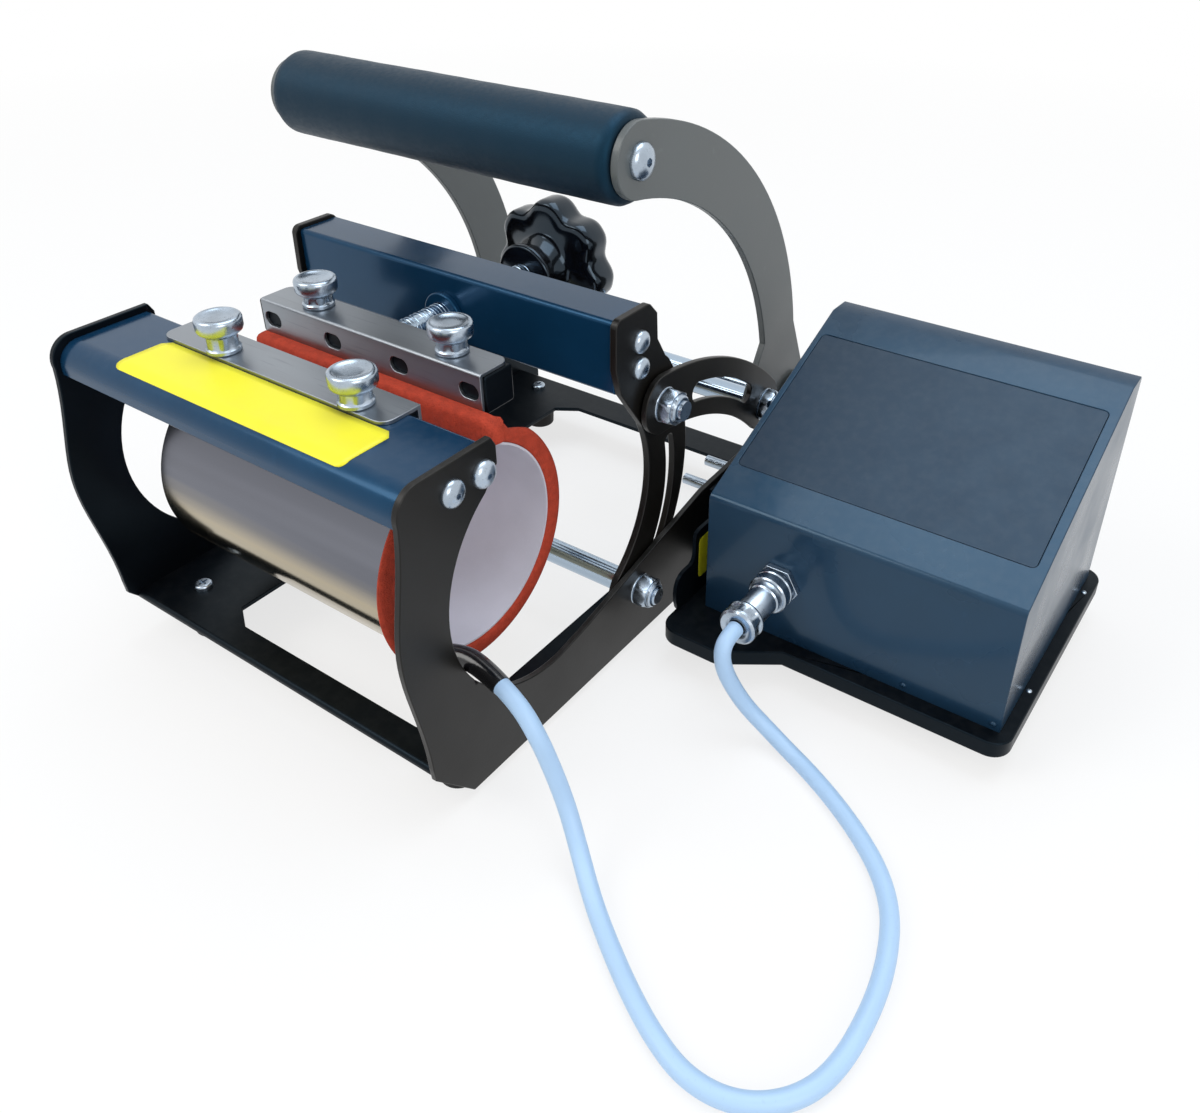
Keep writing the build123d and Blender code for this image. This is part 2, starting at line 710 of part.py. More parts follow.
# Toggle links: arched straps with a curved slot
for side, sign in (("left", -1), ("right", 1)):
    with BuildPart() as link:
        with BuildSketch(side_plane(sign * half_gap)):
            with BuildLine(mode=Mode.PRIVATE) as link_line:
                ThreePointArc(arm_pin, (149.0, 97.5), handle_pin)
            SlotArc(link_line.edges()[0], link_width)
            with BuildLine(mode=Mode.PRIVATE) as slot_line:
                ThreePointArc((129.0, 103.5), (150.0, 96.5), (170.0, 84.5))
            SlotArc(slot_line.edges()[0], link_slot, mode=Mode.SUBTRACT)
            with Locations(arm_pin):
                Circle(4.0, mode=Mode.SUBTRACT)
            with Locations(handle_pin):
                Circle(pin_rod / 2 + running_clearance, mode=Mode.SUBTRACT)
        extrude(amount=sign * link_wall)
    finish(link, f"toggle_link_{side}")

    with BuildPart() as link_bolt:
        with BuildSketch(side_plane(sign * (arm_outer + 0.3))):
            with Locations(arm_pin):
                Circle(6.0)
        extrude(amount=sign * (side_play - 0.3))
        with BuildSketch(side_plane(sign * half_gap)):
            with Locations(arm_pin):
                Circle(4.0)
        extrude(amount=sign * (link_wall + 10.0))
    finish(link_bolt, f"link_bolt_{side}")

    with BuildPart() as link_nut:
        start = sign * (half_gap + link_wall)
        with BuildSketch(side_plane(start)):
            with Locations(arm_pin):
                Circle(9.5)
                Circle(4.0, mode=Mode.SUBTRACT)
        extrude(amount=sign * 1.4)
        with BuildSketch(side_plane(start + sign * 1.4)):
            with Locations(arm_pin):
                RegularPolygon(7.0, 6, major_radius=False)
                Circle(4.0, mode=Mode.SUBTRACT)
        extrude(amount=sign * 5.5)
        with BuildSketch(side_plane(start + sign * 6.9)):
            with Locations(arm_pin):
                Circle(6.2)
                Circle(4.0, mode=Mode.SUBTRACT)
        extrude(amount=sign * 1.8, taper=12)
    finish(link_nut, f"link_nut_{side}")

# Handle arms: a wide hook from the grip down to the two pivots
for side, sign in (("left", -1), ("right", 1)):
    with BuildPart() as handle_arm:
        with BuildSketch(side_plane(sign * arm_inner)):
            with BuildLine(mode=Mode.PRIVATE) as hook_line:
                ThreePointArc(grip_centre, (165.0, 172.0), (205.0, 97.0))
            SlotArc(hook_line.edges()[0], handle_width)
            with BuildSketch(mode=Mode.PRIVATE) as root_circles:
                with Locations((205.0, 97.0)):
                    Circle(handle_width / 2)
                with Locations(handle_pin):
                    Circle(11.0)
                with Locations(rear_pivot):
                    Circle(15.5)
            add(make_hull(root_circles.sketch.edges()))
            with Locations(handle_pin, rear_pivot):
                Circle(pin_rod / 2 + running_clearance, mode=Mode.SUBTRACT)
            with Locations(grip_centre):
                Circle(4.2, mode=Mode.SUBTRACT)
        extrude(amount=sign * arm_wall)
    finish(handle_arm, f"handle_arm_{side}")

rod("handle_cross_rod", handle_pin, pin_rod, half_gap + link_wall + 8.5)
lock_nuts("cross_rod_nuts", [(half_gap + link_wall, handle_pin)], pin_rod, 15.0, 5.0)

# Grip: core rod, foam sleeve and the two end bolts
with BuildPart() as grip_core:
    with BuildSketch(side_plane(-arm_inner)):
        with Locations(grip_centre):
            Circle(grip_bore / 2)
    extrude(amount=2 * arm_inner)
    for sign in (-1, 1):
        with BuildSketch(side_plane(sign * arm_inner)):
            with Locations(grip_centre):
                Circle(4.0)
        extrude(amount=-sign * 16.0, mode=Mode.SUBTRACT)
finish(grip_core, "grip_core")

with BuildPart() as handle_grip:
    with BuildSketch(side_plane(-arm_inner + grip_end_gap)):
        with Locations(grip_centre):
            Circle(grip_diameter / 2)
            Circle(grip_bore / 2, mode=Mode.SUBTRACT)
    extrude(amount=2 * (arm_inner - grip_end_gap))
    rims = handle_grip.edges().filter_by(GeomType.CIRCLE).group_by(SortBy.RADIUS)[-1]
    fillet(rims, 2.5)
finish(handle_grip, "handle_grip")

with BuildPart() as grip_bolts:
    for sign in (-1, 1):
        with BuildSketch(side_plane(sign * arm_outer)):
            with Locations(grip_centre):
                Circle(6.5)
        extrude(amount=sign * 3.5)
        ends = grip_bolts.edges().filter_by(GeomType.CIRCLE).group_by(Axis.X)
        fillet(ends[-1] if sign > 0 else ends[0], 2.2)
        with BuildSketch(side_plane(sign * (arm_outer + 3.5))):
            with Locations(grip_centre):
                RegularPolygon(2.9, 6)
        extrude(amount=-sign * 2.0, mode=Mode.SUBTRACT)
        with BuildSketch(side_plane(sign * arm_outer)):
            with Locations(grip_centre):
                Circle(4.0)
        extrude(amount=-sign * (arm_wall + 14.0))
finish(grip_bolts, "grip_bolts")

# Tray under the control box, with a flange bolted to the right side plate
flange_front = 140.0
flange_rear = 180.0
with BuildPart() as box_tray:
    with BuildSketch(level_plane(box_bottom)):
        with BuildLine():
            Polyline(
                (tray_left, tray_tab_front),
                (tray_tab_right, tray_tab_front),
                (tray_tab_right + 22.0, tray_front),
                (tray_right, tray_front),
                (tray_right, tray_rear),
                (tray_left, tray_rear),
                (tray_left, flange_rear),
                (plate_outer, flange_rear),
                (plate_outer, flange_front),
                (tray_left, flange_front),
                close=True,
            )
        make_face()
        outer_corners = [
            (tray_left, tray_tab_front),
            (tray_tab_right, tray_tab_front),
            (tray_right, tray_front),
            (tray_right, tray_rear),
            (tray_left, tray_rear),
        ]
        for spot in outer_corners:
            fillet(vertices().sort_by_distance(spot)[0], 8.0)
    extrude(amount=-tray_lip)
    underside = box_tray.faces().filter_by(Axis.Z).sort_by(Axis.Z)[0]
    offset(amount=-tray_wall, openings=underside)
    with BuildSketch(side_plane(plate_outer)):
        with BuildLine():
            Polyline(
                (flange_front, box_bottom),
                (flange_rear, box_bottom),
                (flange_rear, 50.0),
                (flange_front, 50.0),
                close=True,
            )
        make_face()
        with Locations(*box_bolt_spots):
            Circle(2.7, mode=Mode.SUBTRACT)
    extrude(amount=tray_wall)
    with BuildSketch(level_plane(box_bottom - tray_wall)):
        with Locations(*tray_foot_spots):
            Circle(1.8)
    extrude(amount=tray_wall, mode=Mode.SUBTRACT)
finish(box_tray, "box_tray")

with BuildPart() as tray_feet:
    with BuildSketch(level_plane(0)):
        with Locations(*tray_foot_spots):
            Circle(7.0)
    extrude(amount=box_bottom - tray_wall, taper=-3)
    rims = tray_feet.edges().filter_by(GeomType.CIRCLE).group_by(Axis.Z)[0]
    fillet(rims, 1.0)
finish(tray_feet, "tray_feet")

# Bolts that hold the tray's flange, with their ends standing out inside the plate
with BuildPart() as box_bolts:
    with BuildSketch(side_plane(plate_outer + tray_wall)):
        with Locations(*box_bolt_spots):
            RegularPolygon(4.0, 6, major_radius=False)
    extrude(amount=3.5)
    with BuildSketch(side_plane(plate_outer + tray_wall)):
        with Locations(*box_bolt_spots):
            Circle(2.5)
    extrude(amount=-(tray_wall + plate_wall + 16.0))
    with BuildSketch(side_plane(half_gap)):
        with Locations(*box_bolt_spots):
            RegularPolygon(4.0, 6, major_radius=False)
            Circle(2.5, mode=Mode.SUBTRACT)
    extrude(amount=-3.5)
finish(box_bolts, "box_bolts")

# Control box cover: folded sheet with a sloped face, open underneath
box_middle = (box_left + box_right) / 2
slope_origin = Plane(
    origin=(box_middle, box_front - seat_depth, box_front_height - seat_height),
    x_dir=(1, 0, 0),
    z_dir=(0, -math.sin(math.radians(slope_angle)), math.cos(math.radians(slope_angle))),
)
with BuildPart() as box_cover:
    with BuildSketch(side_plane(box_left)):
        with BuildLine():
            Polyline(
                (box_front, box_bottom),
                (box_front, box_front_height),
                (box_slope_end, box_top_height),
                (box_rear, box_top_height),
                (box_rear, box_bottom),
                close=True,
            )
        make_face()
        fillet(vertices().sort_by_distance((box_front, box_front_height))[0], 3.0)
        fillet(vertices().sort_by_distance((box_rear, box_top_height))[0], 2.0)
    extrude(amount=box_right - box_left)
    bottom = box_cover.faces().filter_by(Axis.Z).sort_by(Axis.Z)[0]
    offset(amount=-box_wall, openings=bottom)
    with BuildSketch(slope_origin):
        with Locations((0, panel_start + panel_length / 2)):
            RectangleRounded(panel_width + 1.0, panel_length + 1.0, 6.5)
    extrude(amount=-panel_recess, mode=Mode.SUBTRACT)
    with BuildSketch(slope_origin):
        with Locations((0, panel_start + panel_length / 2)):
            RectangleRounded(panel_width - 12.0, panel_length - 12.0, 4.0)
    extrude(amount=-2 * box_wall, mode=Mode.SUBTRACT)
    with BuildSketch(front_plane(box_front)):
        with Locations((socket_x, socket_height)):
            Circle(socket_thread / 2 + 0.2)
    extrude(amount=-box_wall, mode=Mode.SUBTRACT)
    with BuildSketch(front_plane(box_rear - box_wall)):
        with Locations((inlet_x, rear_height)):
            RectangleRounded(inlet_width, inlet_height, 2.0)
        with Locations((switch_x, rear_height)):
            Rectangle(switch_width, switch_height)
        with Locations((fuse_x, rear_height)):
            Circle(6.2)
    extrude(amount=-box_wall, mode=Mode.SUBTRACT)
finish(box_cover, "box_cover")

with BuildPart() as display_panel:
    with BuildSketch(slope_origin.offset(-panel_recess)):
        with Locations((0, panel_start + panel_length / 2)):
            RectangleRounded(panel_width, panel_length, 6.0)
    extrude(amount=panel_recess - 0.2)
finish(display_panel, "display_panel")

with BuildPart() as display_board:
    with BuildSketch(slope_origin.offset(-box_wall - 3.0)):
        with Locations((0, panel_start + panel_length / 2)):
            Rectangle(panel_width - 24.0, panel_length - 24.0)
    extrude(amount=-1.6)
    with BuildSketch(slope_origin.offset(-box_wall - 3.0)):
        with Locations((0, panel_start + panel_length / 2)):
            Rectangle(50.0, 19.0)
    extrude(amount=3.0 + box_wall - panel_recess)
finish(display_board, "display_board")

# Boards inside the box
board_height = box_bottom + 8.0
with BuildPart() as power_board:
    with BuildSketch(level_plane(board_height)):
        with Locations((box_middle, board_depth)):
            Rectangle(90.0, 62.0)
    extrude(amount=1.6)
    with BuildSketch(level_plane(board_height)):
        with Locations((box_middle, board_depth)):
            with GridLocations(82.0, 54.0, 2, 2):
                Circle(3.0)
    extrude(amount=-(board_height - box_bottom))
    with BuildSketch(level_plane(board_height + 1.6)):
        with Locations((box_middle - 22.0, board_depth - 2.0)):
            Rectangle(28.0, 24.0)
    extrude(amount=20.0)
    with BuildSketch(level_plane(board_height + 1.6)):
        with Locations((box_middle + 30.0, board_depth - 20.0)):
            Rectangle(20.0, 10.0)
    extrude(amount=11.0)
finish(power_board, "power_board")

with BuildPart() as relay:
    with BuildSketch(level_plane(board_height + 1.6)):
        with Locations((box_middle + 18.0, board_depth + 14.0)):
            RectangleRounded(19.0, 15.0, 1.0)
    extrude(amount=15.5)
finish(relay, "relay")

# Rear fittings: power inlet, rocker switch and fuse cap
inlet_pins = [(0.0, 2.0), (-7.0, -2.0), (7.0, -2.0)]
rocker_pivot = (box_rear - 3.0, rear_height)
rocker_pin = 1.2
rocker_width = switch_width - 3.6
with BuildPart() as power_inlet:
    with BuildSketch(front_plane(box_rear + 2.2)):
        with Locations((inlet_x, rear_height)):
            RectangleRounded(inlet_width + 6.0, inlet_height + 6.0, 3.0)
    extrude(amount=2.2)
    with BuildSketch(front_plane(box_rear)):
        with Locations((inlet_x, rear_height)):
            RectangleRounded(inlet_width - 0.4, inlet_height - 0.4, 2.0)
    extrude(amount=24.0)
    with BuildSketch(front_plane(box_rear + 2.2)):
        with Locations((inlet_x, rear_height)):
            RectangleRounded(inlet_width - 5.0, inlet_height - 5.0, 2.5)
    extrude(amount=17.0, mode=Mode.SUBTRACT)
    with BuildSketch(front_plane(box_rear - 14.8)):
        with Locations(*[(inlet_x + aside, rear_height + up) for aside, up in inlet_pins]):
            Rectangle(2.0, 4.5)
    extrude(amount=-13.0)
finish(power_inlet, "power_inlet")

with BuildPart() as switch_frame:
    with BuildSketch(front_plane(box_rear + 1.8)):
        with Locations((switch_x, rear_height)):
            Rectangle(switch_width + 4.0, switch_height + 4.0)
            Rectangle(switch_width - 3.0, switch_height - 3.0, mode=Mode.SUBTRACT)
    extrude(amount=1.8)
    with BuildSketch(front_plane(box_rear)):
        with Locations((switch_x, rear_height)):
            Rectangle(switch_width - 0.4, switch_height - 0.4)
            Rectangle(switch_width - 3.0, switch_height - 3.0, mode=Mode.SUBTRACT)
    extrude(amount=16.0)
    with BuildSketch(front_plane(box_rear - 14.0)):
        with Locations((switch_x, rear_height)):
            Rectangle(switch_width - 2.0, switch_height - 2.0)
    extrude(amount=2.0)
    with BuildSketch(side_plane(switch_x - rocker_width / 2 - 1.0)):
        with Locations(rocker_pivot):
            Circle(rocker_pin + running_clearance)
    extrude(amount=rocker_width + 2.0, mode=Mode.SUBTRACT)
finish(switch_frame, "switch_frame")

with BuildPart() as rocker_button:
    with BuildSketch(side_plane(switch_x - rocker_width / 2)):
        reach = switch_height / 2 - 2.0
        with BuildLine():
            Polyline(
                (box_rear - 4.5, rear_height - reach + 1.2),
                (box_rear + 3.8, rear_height - reach + 1.2),
                (box_rear + 1.2, rear_height),
                (box_rear + 1.6, rear_height + reach - 1.0),
                (box_rear - 4.5, rear_height + reach - 1.0),
                close=True,
            )
        make_face()
    extrude(amount=rocker_width)
    with BuildSketch(side_plane(switch_x - rocker_width / 2 - 0.8)):
        with Locations(rocker_pivot):
            Circle(rocker_pin)
    extrude(amount=rocker_width + 1.6)
finish(rocker_button, "rocker_button")

with BuildPart() as fuse_cap:
    with BuildSketch(front_plane(box_rear)):
        with Locations((fuse_x, rear_height)):
            Circle(8.0)
    extrude(amount=-4.0)
    with BuildSketch(front_plane(box_rear)):
        with Locations((fuse_x, rear_height)):
            Circle(6.0)
    extrude(amount=22.0)
    with BuildSketch(front_plane(box_rear + 4.0)):
        with Locations((fuse_x, rear_height)):
            Rectangle(9.0, 1.4)
    extrude(amount=1.2, mode=Mode.SUBTRACT)
finish(fuse_cap, "fuse_cap")

# Round cable socket on the box's front
with BuildPart() as cable_socket:
    with BuildSketch(front_plane(box_front)):
        with Locations((socket_x, socket_height)):
            RegularPolygon(9.6, 6)
            Circle(socket_thread / 2 - 0.2, mode=Mode.SUBTRACT)
    extrude(amount=2.6)
    with BuildSketch(front_plane(box_front + box_wall + 8.0)):
        with Locations((socket_x, socket_height)):
            Circle(socket_thread / 2)
            Circle(socket_thread / 2 - 2.2, mode=Mode.SUBTRACT)
    extrude(amount=box_wall + 13.0)
finish(cable_socket, "cable_socket")

# Plug: knurled nut over the socket, barrel and a clamp ring with two screws
with BuildPart() as cable_plug:
    with BuildSketch(front_plane(box_front - 2.8)):
        with Locations((socket_x, socket_height)):
            Circle(plug_nut / 2)
            Circle(socket_thread / 2 + 0.05, mode=Mode.SUBTRACT)
    extrude(amount=7.0)
    with BuildSketch(front_plane(box_front - 5.2)):
        with Locations((socket_x, socket_height)):
            Circle(plug_barrel / 2 + 1.0)
            Circle(cable_diameter / 2, mode=Mode.SUBTRACT)
    extrude(amount=3.0)
    with BuildSketch(front_plane(box_front - 8.2)):
        with Locations((socket_x, socket_height)):
            Circle(plug_barrel / 2)
            Circle(cable_diameter / 2, mode=Mode.SUBTRACT)
    extrude(amount=16.8)
finish(cable_plug, "cable_plug")
plug_end = box_front - 25.0
with BuildPart() as plug_clamp:
    with BuildSketch(front_plane(plug_end)):
        with Locations((socket_x, socket_height)):
            Circle(clamp_ring / 2)
            Circle(cable_diameter / 2, mode=Mode.SUBTRACT)
    extrude(amount=clamp_width)
    for sign in (-1, 1):
        with BuildSketch(level_plane(socket_height + 0.5)):
            with Locations((socket_x + sign * clamp_ring * 0.4, plug_end - clamp_width / 2)):
                Circle(2.2)
        extrude(amount=clamp_ring * 0.42)
finish(plug_clamp, "plug_clamp")

# Heater cable: sleeve at the heater, then the free cable down to the bench and back to the plug
sleeve_points = [
    (foam_end, -17.4, 57.2),
    (foam_end + 8.0, -17.4, 57.2),
    (83.0, -10.4, 60.4),
    (93.0, -10.0, 60.4),
    (104.0, -12.4, 58.8),
]
cable_points = [
    (104.0, -12.4, 58.8),
    (112.8, -14.32, 57.52),
    (121.0, -15.0, 48.0),
    (126.0, -14.0, 34.0),
    (132.0, -14.6, 20.0),
    (141.5, -20.5, 9.5),
    (154.0, -30.0, 4.6),
    (168.0, -39.5, 3.5),
    (182.0, -48.2, 3.3),
    (195.0, -55.0, 3.5),
    (208.0, -59.4, 3.3),
    (221.0, -58.8, 3.5),
    (232.0, -52.8, 3.3),
    (240.0, -43.0, 3.5),
    (243.4, -30.5, 3.3),
    (243.8, -16.0, 3.5),
    (242.6, -2.0, 3.3),
    (239.5, 11.0, 3.5),
    (234.5, 23.5, 3.3),
    (226.0, 34.5, 3.5),
    (214.0, 44.5, 3.3),
    (199.5, 53.5, 3.5),
    (185.0, 60.8, 3.5),
    (173.5, 65.0, 4.4),
    (163.5, 66.6, 8.6),
    (155.8, 64.8, 16.0),
    (150.8, 62.2, 25.5),
    (147.8, 59.8, 35.0),
    (146.5, 59.8, 42.3),
    (socket_x, 63.5, socket_height),
    (socket_x, plug_end - clamp_width, socket_height),
]


def cord_tube(name, points, diameter):
    """Round tube along straight runs joined by tangent arcs; prints its radii and volume."""
    places = [Vector(x, y - seat_depth, z - seat_height) for x, y, z in points]
    radii = []
    for before, here, after in zip(places, places[1:], places[2:]):
        first = here - before
        second = after - here
        turn = math.radians(first.get_angle(second))
        shorter = min(first.length, second.length)
        radii.append(0.45 * shorter / math.tan(turn / 2))
    with BuildPart() as tube:
        with BuildLine() as route:
            FilletPolyline(*places, radius=radii)
        start_plane = Plane(origin=places[0], z_dir=places[1] - places[0])
        with BuildSketch(start_plane):
            Circle(diameter / 2)
        sweep(path=route.wires()[0])
    finish(tube, name)
    length = route.wires()[0].length
    section = math.pi * diameter**2 / 4
    print(name, "length", round(length, 1), "radii", [round(r, 1) for r in radii])
    print(name, "volume", round(tube.part.volume), "section times length", round(section * length))


cord_tube("cable_sleeve", sleeve_points, sleeve_diameter)
cord_tube("heater_cable", cable_points, cable_diameter)
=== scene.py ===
"""Looks of a cylinder heat press for mugs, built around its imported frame.

Places are given in bench millimetres: x along the mug, depth from the front, height above the
bench. at() turns them into the row frame's metres.
"""

import json
import logging
import math
from dataclasses import dataclass, field
from enum import Enum
from typing import Callable, Sequence

import bmesh
import bpy
from mathutils import Matrix, Vector

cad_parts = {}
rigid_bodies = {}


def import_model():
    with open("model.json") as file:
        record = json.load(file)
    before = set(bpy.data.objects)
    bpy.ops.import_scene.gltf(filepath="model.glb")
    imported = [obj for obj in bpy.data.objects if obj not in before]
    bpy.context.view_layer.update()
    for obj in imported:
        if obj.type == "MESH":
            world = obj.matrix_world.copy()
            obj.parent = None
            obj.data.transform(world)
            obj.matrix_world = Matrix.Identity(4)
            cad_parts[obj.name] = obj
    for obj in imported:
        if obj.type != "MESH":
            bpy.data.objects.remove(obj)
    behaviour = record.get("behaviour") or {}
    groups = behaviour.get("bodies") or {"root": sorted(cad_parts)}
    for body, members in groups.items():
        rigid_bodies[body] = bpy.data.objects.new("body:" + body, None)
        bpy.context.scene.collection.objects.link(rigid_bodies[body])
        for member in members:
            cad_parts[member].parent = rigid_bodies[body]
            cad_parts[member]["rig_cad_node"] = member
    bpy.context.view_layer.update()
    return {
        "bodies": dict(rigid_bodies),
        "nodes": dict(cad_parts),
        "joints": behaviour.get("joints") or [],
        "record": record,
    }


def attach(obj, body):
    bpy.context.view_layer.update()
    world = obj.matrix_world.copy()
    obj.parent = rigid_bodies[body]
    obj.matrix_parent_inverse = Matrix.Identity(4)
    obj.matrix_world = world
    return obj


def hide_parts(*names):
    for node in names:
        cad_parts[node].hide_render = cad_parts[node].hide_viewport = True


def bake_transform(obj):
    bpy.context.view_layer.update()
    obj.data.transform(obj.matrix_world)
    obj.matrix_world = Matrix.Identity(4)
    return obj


LOG = logging.getLogger("heat_press")
SEAT_DEPTH = 22.0
SEAT_HEIGHT = 78.0
MM = 0.001
FULL_TURN = 2 * math.pi
TO_RIGHT = Vector((1, 0, 0))
TO_BACK = Vector((0, 1, 0))
UPWARDS = Vector((0, 0, 1))
EDGE_ANGLE = 35.0
ROUND_ANGLE = 50.0
TURNED_ANGLE = 30.0
MIDTONES = (0.3, 0.7)
COAT_ROUGHNESS = 0.08
DUST_COLOUR = (0.34, 0.34, 0.33, 1.0)
DUST_ROUGHNESS = 0.5

Colour = tuple[float, float, float]
Spot = tuple[float, float, float]
Pair = tuple[float, float]


def at(x: float, depth: float, height: float) -> Vector:
    """Row-frame point of a place in bench millimetres."""
    return Vector((x, depth - SEAT_DEPTH, height - SEAT_HEIGHT)) * MM


class Slot(Enum):
    """Material slots of the record."""

    BLACK_PAINT = "black_paint"
    BLUE_PAINT = "blue_paint"
    HANDLE_PAINT = "handle_paint"
    POLISHED_STEEL = "polished_steel"
    TAB_STEEL = "tab_steel"
    ZINC = "zinc"
    RED_FOAM = "red_foam"
    GREY_LINING = "grey_lining"
    GRIP_RUBBER = "grip_rubber"
    KNOB_PLASTIC = "knob_plastic"
    PANEL_PLASTIC = "panel_plastic"
    BLACK_RUBBER = "black_rubber"
    CABLE_SLEEVING = "cable_sleeving"
    BOARD_GREEN = "board_green"
    RELAY_BLUE = "relay_blue"


class Body(Enum):
    """Moving bodies of the record."""

    FRAME = "frame"
    CLAMP = "clamp"
    BAR = "bar"
    KNOB = "knob"
    HANDLE = "handle"
    LINK_LEFT = "link_left"
    LINK_RIGHT = "link_right"


class Grain(Enum):
    """Kinds of surface grain that the shader groups make."""

    PEEL = "paint_peel"
    FOAM = "foam_pores"
    BRUSHED = "brushed_lines"
    MOULDED = "moulded_skin"


class NodeSheet:
    """Adds and joins nodes in one node tree."""

    def __init__(self, tree: bpy.types.NodeTree) -> None:
        """Keep the tree that the nodes go into."""
        self.tree = tree

    def add(self, kind: str, settings: dict | None = None, **inputs: object) -> bpy.types.Node:
        """Add a node.

        Args:
            kind: the node's type name.
            settings: properties to set on the node itself.
            inputs: values or sockets for its inputs, with _ for a space in a socket's name.

        Returns:
            The new node.
        """
        node = self.tree.nodes.new(kind)
        for name, value in (settings or {}).items():
            setattr(node, name, value)
        for name, value in inputs.items():
            self.feed(node.inputs[name.replace("_", " ")], value)
        return node

    def feed(self, socket: bpy.types.NodeSocket, value: object) -> None:
        """Link a socket to the value, or set it there."""
        if isinstance(value, bpy.types.NodeSocket):
            self.tree.links.new(value, socket)
        else:
            socket.default_value = value

    def noise(self, vector: object, scale: object, detail: float = 2.0) -> bpy.types.NodeSocket:
        """Noise value between 0 and 1 at a scale."""
        return self.add("ShaderNodeTexNoise", Vector=vector, Scale=scale, Detail=detail).outputs["Fac"]

    def ramp(
        self, value: object, low: object, high: object, to: tuple[object, object] = (0.0, 1.0)
    ) -> bpy.types.NodeSocket:
        """Value carried from one range to another, and held at its ends."""
        node = self.add("ShaderNodeMapRange", Value=value)
        node.inputs["From Min"].default_value = low
        node.inputs["From Max"].default_value = high
        node.inputs["To Min"].default_value = to[0]
        node.inputs["To Max"].default_value = to[1]
        return node.outputs["Result"]

    def maths(self, operation: str, first: object, second: object) -> bpy.types.NodeSocket:
        """Result of one sum on two values."""
        node = self.add("ShaderNodeMath", {"operation": operation})
        self.feed(node.inputs[0], first)
        self.feed(node.inputs[1], second)
        return node.outputs[0]

    def blend(self, share: object, first: object, second: object) -> bpy.types.NodeSocket:
        """Colour between two colours."""
        node = self.add("ShaderNodeMix", {"data_type": "RGBA"})
        self.feed(node.inputs["Factor"], share)
        self.feed(node.inputs[6], first)
        self.feed(node.inputs[7], second)
        return node.outputs[2]

    def close(self, geometry: bpy.types.NodeSocket, finish: bpy.types.NodeSocket, output: str) -> None:
        """Realize a geometry, give it the finish and feed it to the group's output."""
        solid = self.add("GeometryNodeRealizeInstances", Geometry=geometry)
        painted = self.add("GeometryNodeSetMaterial", Geometry=solid.outputs["Geometry"], Material=finish)
        self.feed(self.add("NodeGroupOutput").inputs[output], painted.outputs["Geometry"])


def new_group(name: str, kind: str, inputs: dict[str, str], outputs: dict[str, str]) -> bpy.types.NodeTree:
    """Empty node group with its sockets.

    Args:
        name: the group's name.
        kind: Shader or Geometry.
        inputs: kind of each input socket.
        outputs: kind of each output socket.

    Returns:
        The group.
    """
    tree = bpy.data.node_groups.new(name, f"{kind}NodeTree")
    for way, sockets in (("INPUT", inputs), ("OUTPUT", outputs)):
        for socket, value in sockets.items():
            tree.interface.new_socket(name=socket, in_out=way, socket_type=f"NodeSocket{value}")
    return tree


@dataclass(frozen=True)
class GrainEnds:
    """Where a grain recipe starts and ends: the stretched place, the scale and the group's output."""

    vector: bpy.types.NodeSocket
    scale: bpy.types.NodeSocket
    out: bpy.types.Node


